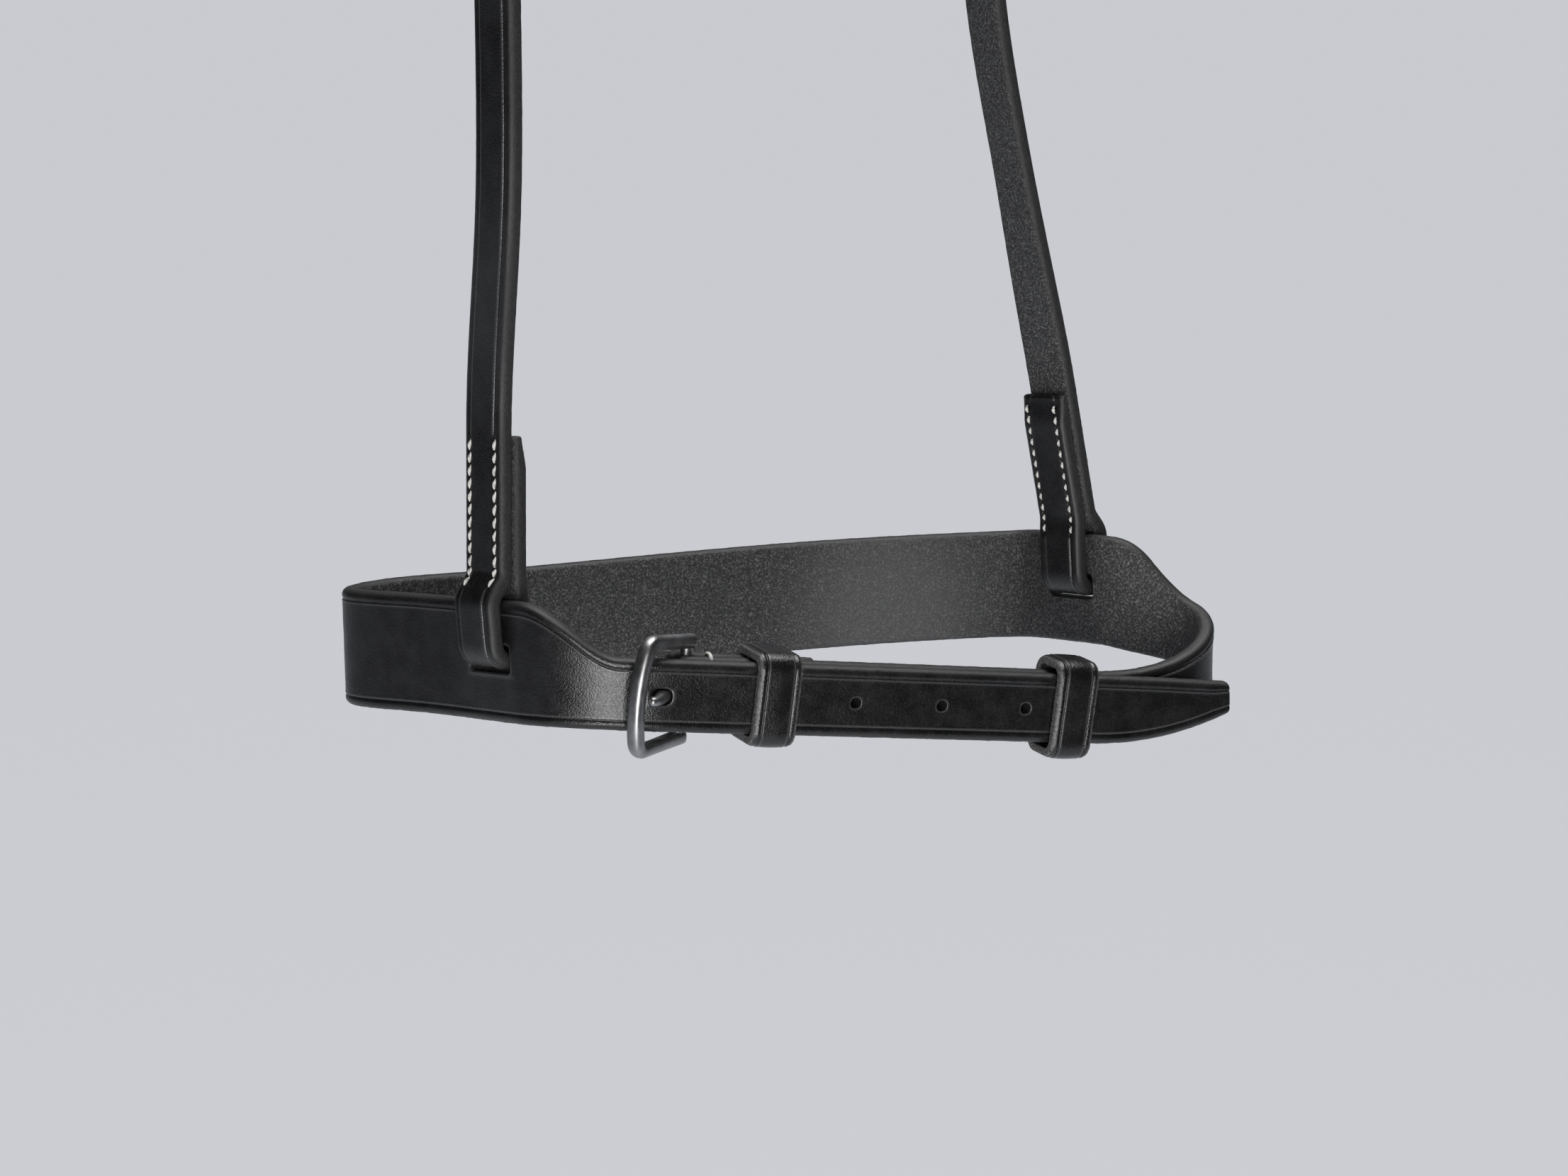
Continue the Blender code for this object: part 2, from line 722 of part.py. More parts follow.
def loop_pieces(strip, inward, lean):
    """The cheek loop round the band, from the tail's seam, through the slot, to the face's seam."""
    turn = loop_turn_height()
    strip_top = band_top() - edge_chamfer
    rise = unit(strip.z + lean * strip.y)
    square = np.cross(strip.x, rise)
    middle = strip.at(0.0, inward, band_top() + merge_height)
    face_foot, tail_foot = middle + layer_step / 2 * square, middle - layer_step / 2 * square
    step = merge_height / 4
    tail_join = spline_piece((tail_foot, strip.at(0.0, layer_step, strip_top)), -rise, -strip.z, step)
    inner = line_piece(strip.at(0.0, layer_step, strip_top), strip.at(0.0, layer_step, turn))
    bend = arc_piece(strip.at(0.0, 0.0, turn), strip.y, -strip.z, layer_step, math.pi, 10)
    outer = line_piece(strip.at(0.0, -layer_step, turn), strip.at(0.0, -layer_step, strip_top))
    face_join = spline_piece((strip.at(0.0, -layer_step, strip_top), face_foot), strip.z, rise, step)
    sewn_length = loop_seam_length + loop_tail_past_seam
    tail = line_piece(tail_foot + sewn_length * rise, tail_foot + tail_skive_length * rise)
    tail_foot_line = line_piece(tail_foot + tail_skive_length * rise, tail_foot)
    face = line_piece(face_foot, face_foot + sewn_length * rise)
    return (tail, tail_foot_line, tail_join[:2], inner, bend, outer, face_join[:2], face), rise, square


def reversed_pieces(pieces):
    return [(points[::-1], -ways[::-1]) for points, ways in pieces[::-1]]


def across_field(points, strip, twist):
    """Across a cheek strap: as its slot at the loop, turned above it, and fore-and-aft at the crown."""
    seam_end = strip.origin[2] + band_top() + merge_height + loop_seam_length + loop_tail_past_seam
    turned = smoothstep((points[:, 2] - seam_end) / twist_rise)
    straight = smoothstep((points[:, 2] + cheek_buckle_drop - crown_straight) / untwist_rise)
    forward = strip.x if strip.x[1] > 0 else -strip.x
    angle = (twist * turned * (1.0 - straight))[:, None]
    flat = np.sin(angle) * np.array([1.0, 0.0, 0.0]) + np.cos(angle) * np.array([0.0, 1.0, 0.0])
    return unit(forward * (1.0 - turned[:, None]) + flat * turned[:, None])


def loop_seams(name, foot, rise, square, across, look):
    """Two rows through a cheek strap and the tail behind it. Returns the spaces they take."""
    spaces = []
    along = seam_stations(stitch_pitch / 2, loop_seam_length)
    sink = thread_radius + thread_relief / 2
    for label, sign in (("front", 1.0), ("rear", -1.0)):
        row = foot + sign * (cheek_width / 2 - seam_inset) * across
        face = np.array([row + x * rise + (half_leather - sink) * square for x in along])
        back = face - (leather + layer_step - 2.0 * sink) * square
        thread_ring(f"{name}_{label}", face, back, across, look)
        spaces.append(thread_ring(f"{name}_{label}_space", face, back, across, None, thread_relief))
    return spaces


def strap_knots(shares):
    return [loop_point((x, y, 0.0)) + np.array([0.0, 0.0, z * hang_drop]) for x, y, z in shares]


def near_cheek_strap(strip, place, leather_look, thread_look):
    """Short strap: sewn loop round the near slot, up to the fold that carries the cheek buckle."""
    loop, rise, square = loop_pieces(strip, near_loop_inward, near_loop_lean)
    seam_top = loop[-1][0][-1]
    foot = loop[-1][0][0]
    knots = [seam_top] + strap_knots(near_strap_shares) + [place.at(cheek_straight_to, layer_step)]
    climb = spline_piece(knots, rise, -place.x, station_step)
    bend, settle = fold_pieces(place)
    straight = line_piece(place.at(cheek_straight_to, layer_step), place.at(settled_at, layer_step))
    thin = line_piece(place.at(settled_at, layer_step), place.at(bar_past_hole, layer_step))
    tail = line_piece(place.at(settled_at, tail_depth), place.at(cheek_tail_end, tail_depth))
    points, ways, starts = join_pieces([*loop, climb[:2], straight, thin, bend, settle, tail])
    run = run_lengths(points)
    half = np.full(len(run), cheek_width / 2)
    face = np.full(len(run), half_leather)
    back = -face
    back[starts[11] :] += fold_skive
    face = face - tail_skive * (1.0 - smoothstep(run / tail_skive_length))
    reference = -across_field(points, strip, near_twist)
    reference[starts[9] :] = place.z
    rings = strap_rings(points, ways, reference, half, -half, face, back, edge_chamfer)
    vertices, faces = skin(rings, False)
    obj = mesh_object("near_cheek_strap", vertices, faces, leather_look)
    return obj, loop_seams("near_loop_seam", foot, rise, square, -strip.x, thread_look)


def sliphead_strap(strip, near_strip, place, leather_look, thread_look):
    """Long strap: point, holes, over the crown, down the off side to its sewn loop at the off slot."""
    tip_run = [place.at(x) for x in np.linspace(cheek_tip_at, cheek_tip_at - cheek_tip_length, 7)]
    tip = (np.array(tip_run), np.broadcast_to(-place.x, (7, 3)))
    point_end = line_piece(tip_run[-1], place.at(-crown_straight))
    loop, rise, square = loop_pieces(strip, off_loop_inward, off_loop_lean)
    seam_top = loop[-1][0][-1]
    foot = loop[-1][0][0]
    side = math.pi * crown_side_share
    knots = [place.at(-crown_straight)]
    for share in (-1.0, -0.5, 0.0, 0.5, 1.0):
        across = crown_half_width * math.sin(share * side) / math.sin(side)
        fall = crown_rise * (1.0 - math.cos(share * side)) / (1.0 - math.cos(side))
        knots.append(np.array([across, 0.0, half_leather - fall]))
    knots += strap_knots(off_strap_shares)[::-1] + [seam_top]
    over = spline_piece(knots, -place.x, -rise, station_step)
    points, ways, starts = join_pieces([tip, point_end, over[:2]] + reversed_pieces(loop))
    run = run_lengths(points)
    half = np.full(len(run), cheek_width / 2)
    taper = np.clip(1.0 - run / cheek_tip_length, 0.0, 1.0) ** 2
    half = half - (cheek_width / 2 - tip_bottom) * taper
    face = half_leather - tail_skive * (1.0 - smoothstep((run[-1] - run) / tail_skive_length))
    back = np.full(len(run), -half_leather)
    off_side = (points[:, 0] > 0.0)[:, None]
    field = across_field(points, strip, off_twist)
    near_field = across_field(points, near_strip, near_twist)
    reference = -np.where(off_side, field, near_field)
    rings = strap_rings(points, ways, reference, half, -half, face, back, edge_chamfer)
    vertices, faces = skin(rings, False)
    obj = mesh_object("sliphead_strap", vertices, faces, leather_look)
    return obj, loop_seams("off_loop_seam", foot, rise, square, strip.x, thread_look)


def cheek_place():
    """Frame of the cheek buckle: x down the strap to its point, y in towards the horse."""
    inward = np.array([math.cos(near_twist), -math.sin(near_twist), 0.0])
    down = np.array([0.0, 0.0, -1.0])
    along = math.cos(cheek_lean) * down - math.sin(cheek_lean) * inward
    square = math.cos(cheek_lean) * inward + math.sin(cheek_lean) * down
    return Place((-cheek_buckle_across, 0.0, -cheek_buckle_drop), along, square)


def build():
    clear_scene()
    black = material("black_leather", (0.012, 0.012, 0.013), 0.42, 0.0)
    steel = material("satin_steel", (0.55, 0.55, 0.56), 0.28, 1.0)
    cream = material("waxed_thread", (0.62, 0.60, 0.55), 0.7, 0.0)
    jaw, cheek = jaw_place(), cheek_place()
    near_strip = strip_place(near_slot_share, -1.0, near_band_yaw, near_band_pitch)
    off_strip = strip_place(off_slot_share, 1.0, off_band_yaw, off_band_pitch)

    band = nosepiece(jaw, near_strip, off_strip, black)
    cut(band, [slot_cutter("near_slot", near_strip), slot_cutter("off_slot", off_strip)])
    cut(band, prong_openings("nose_prong", jaw) + strap_holes("nose_hole", jaw, nose_holes))
    cut(band, fold_seams("nose_fold_seam", jaw, billet_width, nose_tail_end, cream))

    hole, slot = prong_openings("cheek_prong", cheek)
    near_strap, loop_spaces = near_cheek_strap(near_strip, cheek, black, cream)
    fold_spaces = fold_seams("cheek_fold_seam", cheek, cheek_width, cheek_tail_end, cream)
    cut(near_strap, loop_spaces + fold_spaces + [slot])
    head_strap, loop_spaces = sliphead_strap(off_strip, near_strip, cheek, black, cream)
    cut(head_strap, loop_spaces + [hole] + strap_holes("cheek_hole", cheek, cheek_holes))

    two_layers, three_layers = layer_step + half_leather, tail_depth + half_leather
    for name, place, width, fixed, runner in (
        ("nose", jaw, billet_width, nose_fixed_at, nose_runner_at),
        ("cheek", cheek, cheek_width, cheek_fixed_at, cheek_runner_at),
    ):
        buckle_frame(f"{name}_buckle_frame", place, width, steel)
        buckle_prong(f"{name}_buckle_prong", place, steel)
        keeper(f"{name}_fixed_keeper", place, fixed, width, three_layers, 0.0, black)
        keeper(f"{name}_runner_keeper", place, runner, width, two_layers, runner_slack, black)
        keeper_stitch(f"{name}_fixed_keeper_stitch", place, fixed, three_layers, cream)
        keeper_stitch(f"{name}_runner_keeper_stitch", place, runner, two_layers, cream)


build()
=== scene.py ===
"""Looks of a bridle noseband: creased, slotted and saddle-stitched black leather with steel buckles."""

import math

import bmesh
import bpy
import numpy as np
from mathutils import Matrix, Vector


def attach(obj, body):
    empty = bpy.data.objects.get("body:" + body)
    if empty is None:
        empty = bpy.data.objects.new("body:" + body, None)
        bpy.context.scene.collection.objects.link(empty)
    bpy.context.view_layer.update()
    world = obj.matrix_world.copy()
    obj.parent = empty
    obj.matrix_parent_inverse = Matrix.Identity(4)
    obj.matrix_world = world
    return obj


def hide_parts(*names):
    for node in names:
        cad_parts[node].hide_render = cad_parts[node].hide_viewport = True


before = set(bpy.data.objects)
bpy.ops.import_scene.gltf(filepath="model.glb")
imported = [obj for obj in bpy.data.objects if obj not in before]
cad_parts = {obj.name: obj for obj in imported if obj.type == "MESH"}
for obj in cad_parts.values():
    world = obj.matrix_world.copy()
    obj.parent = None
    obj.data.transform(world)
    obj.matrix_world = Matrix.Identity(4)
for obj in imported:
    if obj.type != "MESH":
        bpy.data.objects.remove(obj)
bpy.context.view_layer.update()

MM = 0.001

# The strap work's driving sizes, as the model has them
leather = 4.5 * MM
fit_gap = 0.3 * MM
thread_radius = 0.4 * MM
stitch_pitch = 3.2 * MM
seam_inset = 2.6 * MM
nose_width = 32.0 * MM
billet_width = 19.0 * MM
slot_half_span = 97.0 * MM
nose_reach = 68.0 * MM
hang_drop = 449.0 * MM
loop_sag = 22.8 * MM
shoulder_flat = 12.0 * MM
shoulder_length = 24.0 * MM
tip_length = 42.0 * MM
tip_lift = 3.6 * MM
tip_top = 5.6 * MM
tip_bottom = 3.2 * MM

# The noseband's line: across in shares of the slots' half span, forward in shares of the nose's reach,
# down in shares of the sag
near_slot_share = (-0.934, 0.077, -0.763)
nose_line_shares = (
    (-1.045, 0.534, -0.868),
    (-1.100, 0.882, -0.956),
    (-0.946, 1.0, -0.991),
    (-0.760, 0.978, -1.0),
    (-0.224, 0.846, -0.982),
    (0.311, 0.691, -0.956),
    (0.766, 0.537, -0.974),
    (0.975, 0.338, -0.930),
)
off_slot_share = (1.0, 0.041, -0.833)
off_jaw_shares = (
    (1.077, -0.243, -0.855),
    (1.160, -0.441, -0.987),
    (1.124, -0.596, -1.162),
    (1.026, -0.676, -1.360),
    (0.876, -0.672, -1.504),
)
nose_buckle_share = (-0.586, -0.391, -0.789)
near_band_yaw = math.radians(11.0)
near_band_pitch = math.radians(6.0)
off_band_yaw = math.radians(10.0)
off_band_pitch = math.radians(4.5)
jaw_yaw = math.radians(-9.5)
jaw_pitch = math.radians(-7.4)

# Slots for the cheek straps
slot_floor = 18.6 * MM
slot_side_gap = 0.6 * MM
slot_edge_gap = 0.6 * MM
slot_corner = 1.2 * MM
strip_dip = 0.5 * MM

# Cheek straps and crown
cheek_width = 15.5 * MM
loop_seam_length = 33.0 * MM
loop_tail_past_seam = 2.0 * MM
merge_height = 7.0 * MM
tail_skive = 1.6 * MM
tail_skive_length = 9.0 * MM
near_loop_inward = 2.4 * MM
off_loop_inward = 2.3 * MM
near_loop_lean = 0.105
off_loop_lean = 0.175
crown_half_width = 56.0 * MM
crown_rise = 53.0 * MM
crown_side_share = 0.40
near_twist = math.radians(-9.0)
off_twist = math.radians(2.5)
twist_rise = 70.0 * MM
untwist_rise = 110.0 * MM
cheek_lean = math.radians(5.5)
cheek_buckle_drop = 169.0 * MM
cheek_buckle_across = 85.3 * MM
near_strap_shares = ((-0.932, 0.012, 0.234), (-0.921, 0.012, 0.356))
off_strap_shares = (
    (0.835, 0.074, 0.173),
    (0.730, 0.066, 0.261),
    (0.639, 0.059, 0.348),
    (0.588, 0.037, 0.454),
    (0.572, 0.015, 0.600),
)

# Buckles
hole_pitch = 25.4 * MM
hole_radius = 1.5 * MM
bar_radius = 1.5 * MM
running_gap = 0.12 * MM
fold_skive = 1.2 * MM
bar_past_hole = 5.2 * MM
frame_front = 10.6 * MM
frame_bow = 1.8 * MM
frame_radius = 2.1 * MM
frame_side_gap = 2.6 * MM
frame_corner = 3.2 * MM
frame_side_fullness = 0.88
frame_taper = 1.5 * MM
prong_radius = 1.6 * MM
prong_tip_radius = 1.3 * MM
prong_play = 0.5 * MM
eye_wall = 1.7 * MM
eye_half_width = 1.9 * MM
prong_swell = 0.45 * MM
prong_rest_angle = math.radians(37.0)
fold_settle = 11.0 * MM

# Keepers, and the stations along each fastening from its first hole towards the point
keeper_wall = 2.4 * MM
keeper_width = 12.0 * MM
keeper_gap = 0.4 * MM
runner_slack = 1.1 * MM
keeper_corner = 3.2 * MM
keeper_grain_corner = 1.1 * MM
keeper_flesh_corner = 0.5 * MM
keeper_end_round = 0.25 * MM
keeper_crown = 0.45 * MM
nose_tail_end = 42.0 * MM
nose_fixed_at = 27.4 * MM
nose_runner_at = 115.6 * MM
nose_straight_to = 124.0 * MM
nose_tip_at = 166.0 * MM
nose_holes = 5
cheek_tail_end = 40.0 * MM
cheek_fixed_at = 27.5 * MM
cheek_runner_at = 66.0 * MM
cheek_straight_to = 90.0 * MM
cheek_tip_at = 98.0 * MM
cheek_tip_length = 26.0 * MM
cheek_holes = 3
fold_seam_start = 10.5 * MM
edge_stitch_at = 10.6 * MM
edge_stitch_slant = 1.4 * MM
billet_bends_at = -2.0 * MM
slot_straight = 8.5 * MM
crown_straight = 14.0 * MM

half_leather = leather / 2
layer_step = leather + fit_gap
fold_radius = bar_radius + fit_gap + leather - fold_skive - half_leather
bar_depth = layer_step + fold_radius
frame_depth = half_leather + fit_gap + frame_radius
eye_radius = bar_radius + running_gap + eye_wall
tail_depth = layer_step + layer_step - fold_skive
settled_at = bar_past_hole + fold_settle

# Finish of the leather: how its edges are rounded and creased, and how closely it is modelled
grain_corner = 1.9 * MM
flesh_corner = 1.6 * MM
end_round = 0.8 * MM
crease_inset = 2.9 * MM
crease_width = 0.22 * MM
bead_width = 1.2 * MM
crease_depth = 0.36 * MM
burr_height = 0.05 * MM
groove_width = 0.5 * MM
groove_depth = 0.42 * MM
path_step = 0.75 * MM
row_step = 1.3 * MM
detail_step = 0.5 * MM
end_step = 0.14 * MM
edge_zone = np.array([1.9, 2.0, 2.1, 2.3, 2.5, 2.7, 2.9, 3.0, 3.12, 3.3, 3.7, 4.3]) * MM
narrow_width = 2.6 * edge_zone[-1]
middle_columns = 15
pace_samples = 6000
opening_step = 0.8 * MM
fold_slot_step = 0.6 * MM
keeper_step = 0.45 * MM
fine_past_seam = 1.0 * MM

# Openings: the leather reworked round each one, the roundness of its lip, and how far the lip stands up
slot_margin = 1.7 * MM
slot_lip = 0.5 * MM
slot_lip_raised = 0.3 * MM
hole_margin = 1.1 * MM
hole_lip = 0.3 * MM
prong_hole_lip = 0.4 * MM
prong_hole_raised = 0.15 * MM
prong_hole_stretch = 1.35
prong_hole_shift = 0.35
eye_slot_margin = 1.0 * MM
slot_top_inset = 1.1 * MM

# Uneven handwork: the height of each kind of wave, and its pitch
face_waver, face_waver_pitch = 0.05 * MM, 14.0 * MM
edge_fuzz, edge_fuzz_pitch = 0.06 * MM, 1.9 * MM
edge_waver, edge_waver_pitch = 0.05 * MM, 7.0 * MM
flesh_waver, flesh_waver_pitch = 0.04 * MM, 5.0 * MM

# Stitching: where each row runs past its loop's join, how a stitch lies, and each row's own
# share of the pitch under thread, slant across the row, and thread radius
near_seam_onto_join = 5.5 * MM
off_seam_onto_join = 6.4 * MM
near_seam_past = 1.4 * MM
crease_stops_at = 1.2 * MM
crease_stops_over = 1.0 * MM
channel_ease = 0.8 * MM
stitch_rise = 0.12 * MM
stitch_sink = 0.35 * MM
stitch_level = 0.28 * MM
closing_rise = 0.15 * MM
end_stitch_rise = 0.6 * MM
end_stitch_inset = 0.2 * MM
near_row = (1.0, 0.60 * MM, 0.47 * MM)
off_row = (0.68, 0.12 * MM, 0.40 * MM)
fold_row = (0.82, 0.20 * MM, 0.46 * MM)
closing_turns = 7

# Steel: how finely it is modelled, and the prong's curl and narrowing
frame_sides = 28
bar_sides = 24
prong_sides = 20
bar_end_round = 0.1 * MM
curl_from = math.radians(295.0)
curl_turn = math.radians(262.0)
curl_count = 60
prong_narrowing = 0.25 * MM
prong_tip_narrowing = 0.45 * MM
keeper_closing = 0.1 * MM

# The view and its light: metres, radians, watts, and linear grey
film_width = 36.0
focal_pixels = 4168.0
image_width = 2212.0
camera_azimuth = math.radians(-32.7)
camera_elevation = math.radians(12.0)
camera_aim = (-0.00712, -0.00151, -0.449)
camera_distance = 0.8
background = (0.603, 0.616, 0.650)
sky_light = 0.6
room_from, room_to = 0.35, 0.95
room_light, room_peak = 0.02, 0.26
floor_sides = (-60.0, 60.0, -0.8, 90.0, -0.95)
floor_glow = 0.95
# Centre, in metres, of a paler patch painted on the nose band's flesh side: a painted sheen, not wear
painted_sheen_centre = (0.056, 0.041, -0.471)
soft_lights = (
    ("front_softbox", (-0.61, -1.15, -0.20), (0.6, 0.8), 16.5),
    ("overhead", (0.20, 0.05, 1.05), (0.8, 0.8), 17.0),
)


def unit(vector):
    """Each vector over its own length."""
    return vector / np.linalg.norm(vector, axis=-1, keepdims=True)


def smoothstep(value):
    """0 below 0, 1 above 1, and three times the square less twice the cube between them."""
    share = np.clip(value, 0.0, 1.0)
    return share * share * (3.0 - 2.0 * share)


def bell(value, width):
    """A bell curve: e to the power of minus the square of value over width."""
    return np.exp(-((value / width) ** 2))


def ripple(along, across, pitch, seed):
    """Uneven handwork: three crossed sine waves of about one pitch, between -1 and 1."""
    a, b = along * 2.0 * math.pi / pitch, across * 2.0 * math.pi / pitch
    straight = np.sin(a + seed)
    aslant = np.sin(0.61 * a + 1.3 * b + 2.1 * seed)
    crossed = np.sin(1.73 * b - 0.8 * a + 3.7 * seed)
    return (straight + aslant + crossed) / 3.0


class Place:
    """A fastening's frame: x along the strap to its point, y inwards to the horse, z across."""

    def __init__(self, origin, x_axis, y_axis):
        self.origin = np.array(origin, float)
        self.x = unit(np.array(x_axis, float))
        self.y = unit(np.array(y_axis, float))
        self.z = np.cross(self.x, self.y)

    def at(self, x, y=0.0, z=0.0):
        """The point at x, y and z of this frame."""
        return self.origin + x * self.x + y * self.y + z * self.z

    def spread(self, local):
        """Points given in this frame, as an array whose last axis is x, y, z."""
        return self.origin + local @ np.stack([self.x, self.y, self.z])


# Lines. Each piece is a pair of arrays, the points and the unit directions at them.


def line_piece(start, end):
    """A straight line from start to end, in steps of the path's step."""
    start, end = np.array(start, float), np.array(end, float)
    count = max(2, round(np.linalg.norm(end - start) / path_step))
    share = np.linspace(0.0, 1.0, count)[:, None]
    points = start + (end - start) * share
    return points, np.broadcast_to(unit(end - start), points.shape)


def arc_piece(centre, out, way, radius, turn):
    """From centre + radius * out, starting along way, through the angle turn."""
    count = max(12, round(radius * abs(turn) / path_step * 3))
    angle = np.linspace(0.0, turn, count + 1)[:, None]
    outs = np.cos(angle) * out + np.sin(angle) * way
    ways = -np.sin(angle) * out + np.cos(angle) * way
    return centre + radius * outs, ways


def spline_piece(knots, first, last):
    """A cubic with continuous curvature through the knots, timed by the chords between them."""
    knots = np.array(knots, float)
    chord = np.linalg.norm(np.diff(knots, axis=0), axis=1)
    count = len(knots)
    system = np.zeros((count, count))
    wanted = np.zeros((count, 3))
    system[0, 0] = system[-1, -1] = 1.0
    wanted[0], wanted[-1] = first, last
    for i in range(1, count - 1):
        before, after = chord[i - 1], chord[i]
        system[i, i - 1 : i + 2] = after, 2.0 * (before + after), before
        wanted[i] = 3.0 * (
            after / before * (knots[i] - knots[i - 1])
            + before / after * (knots[i + 1] - knots[i])
        )
    slope = np.linalg.solve(system, wanted)
    points, ways = [], []
    for i in range(count - 1):
        parts = max(2, round(chord[i] / path_step))
        u = (np.arange(parts + (i == count - 2)) / parts)[:, None]
        a, b, m, n = knots[i], knots[i + 1], slope[i] * chord[i], slope[i + 1] * chord[i]
        points.append(
            (2 * u**3 - 3 * u**2 + 1) * a
            + (u**3 - 2 * u**2 + u) * m
            + (3 * u**2 - 2 * u**3) * b
            + (u**3 - u**2) * n
        )
        ways.append(
            (6 * u**2 - 6 * u) * (a - b) + (3 * u**2 - 4 * u + 1) * m + (3 * u**2 - 2 * u) * n
        )
    return np.concatenate(points), unit(np.concatenate(ways))


def join_pieces(pieces):
    """One line from pieces that meet end to end; also the index where each piece starts."""
    points, ways, starts = [pieces[0][0]], [pieces[0][1]], [0]
    total = len(pieces[0][0])
    for piece in pieces[1:]:
        starts.append(total - 1)
        points.append(piece[0][1:])
        ways.append(piece[1][1:])
        total += len(piece[0]) - 1
    return np.concatenate(points), np.concatenate(ways), starts


def reversed_pieces(pieces):
    """The same pieces from the last point to the first, with their directions turned round."""
    return [(points[::-1], -ways[::-1]) for points, ways in pieces[::-1]]


class StrapLine:
    """A strap's middle line by its run: where it is, across its width, and out of its grain side."""

    def __init__(self, points, ways, reference):
        steps = np.linalg.norm(np.diff(points, axis=0), axis=1)
        self.run = np.concatenate([[0.0], np.cumsum(steps)])
        wide = unit(reference - np.sum(reference * ways, axis=1)[:, None] * ways)
        self.columns = np.concatenate([points, wide, np.cross(wide, ways)], axis=1).T
        self.length = self.run[-1]

    def place(self, along, across, through):
        """Points at a run, moved across the width and out through the leather."""
        along, across, through = np.broadcast_arrays(along, across, through)
        parts = [np.interp(along, self.run, column) for column in self.columns]
        base, wide, out = (np.stack(parts[k : k + 3], axis=-1) for k in (0, 3, 6))
        return base + across[..., None] * unit(wide) + through[..., None] * unit(out)

    def run_of(self, point, first=0, last=None):
        """The run of the line's nearest point to a place, between two indices."""
        points = self.columns[:3, first:last].T
        return self.run[first + int(np.argmin(np.linalg.norm(points - point, axis=1)))]


# Meshes


def make_piece(name, vertices, faces, look, body, nodes, values=None):
    """A mesh object from vertices, faces of three or four corners, and named values, one per vertex."""
    mesh = bpy.data.meshes.new(name)
    corners = [face for group in faces for face in group.tolist()]
    mesh.from_pydata(vertices.reshape(-1, 3), [], corners)
    for label, value in (values or {}).items():
        attribute = mesh.attributes.new(label, "FLOAT", "POINT")
        attribute.data.foreach_set("value", value.astype(np.float32).ravel())
    shape = bmesh.new()
    shape.from_mesh(mesh)
    bmesh.ops.recalc_face_normals(shape, faces=shape.faces)
    shape.to_mesh(mesh)
    shape.free()
    mesh.shade_smooth()
    mesh.materials.append(look)
    obj = bpy.data.objects.new(name, mesh)
    bpy.context.scene.collection.objects.link(obj)
    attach(obj, body)
    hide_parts(*nodes)
    return obj


def grid_quads(rows, columns, first=0, ring=True):
    """Quads of a grid stored row by row, joined round its columns where it is a ring."""
    last = columns if ring else columns - 1
    i, j = np.meshgrid(np.arange(rows - 1), np.arange(last), indexing="ij")
    k = (j + 1) % columns
    here, there = first + i * columns, first + (i + 1) * columns
    return np.stack([here + j, here + k, there + k, there + j], axis=-1)


def fan(indices, middle, flip=False):
    """Triangles from a ring of vertices to one middle vertex."""
    ahead = np.roll(indices, -1)
    sides = (ahead, indices) if flip else (indices, ahead)
    return np.stack([sides[0], sides[1], np.full(len(indices), middle)], axis=-1)


def stations(length, step, fine):
    """Runs of the rows of a strap: a step apart, and closer in each (start, end, step) range of fine."""
    run = np.linspace(0.0, length, pace_samples)
    pace = np.full(len(run), step)
    ease = 3 * step
    for start, end, close in fine:
        near = smoothstep((run - start + ease) / ease) * smoothstep((end + ease - run) / ease)
        pace = np.minimum(pace, step + (close - step) * near)
    rows_per_length = (1.0 / pace[1:] + 1.0 / pace[:-1]) / 2
    count = np.concatenate([[0.0], np.cumsum(rows_per_length * np.diff(run))])
    return np.interp(np.linspace(0.0, count[-1], int(count[-1]) + 1), count, run)


class Opening:
    """A slot or hole through a strap: a rectangle with round corners, in run and across its width.

    Where it leans, its place along the run moves by lean for each unit out of the leather's middle."""

    def __init__(self, middle, half_length, low, high, corner, margin, lip, raised=0.0, lean=0.0):
        self.middle = middle
        self.lean = lean
        self.half_length = half_length
        self.low, self.high = low, high
        self.corner = corner
        self.margin = margin
        self.lip = lip
        self.raised = raised

    def outline(self, p, q, grow):
        """Points of the outline, grown outwards, for p and q on the sides of the square from -1 to 1."""
        half = np.array([self.half_length + grow, (self.high - self.low) / 2 + grow])
        corner = self.corner + grow
        wanted = np.stack([p * half[0], q * half[1]], axis=-1)
        core = np.clip(wanted, corner - half, half - corner)
        out = wanted - core
        length = np.linalg.norm(out, axis=-1, keepdims=True)
        point = core + corner * out / np.maximum(length, 1e-9)
        return self.middle + point[..., 0], (self.low + self.high) / 2 + point[..., 1]


def narrowing(high, low):
    """By how much both edges' rounding and creases draw in, where the strap is narrow: its width over
    the width that they need, and 1 from there on."""
    return np.clip((high - low) / narrow_width, 0.0, 1.0)[:, None]


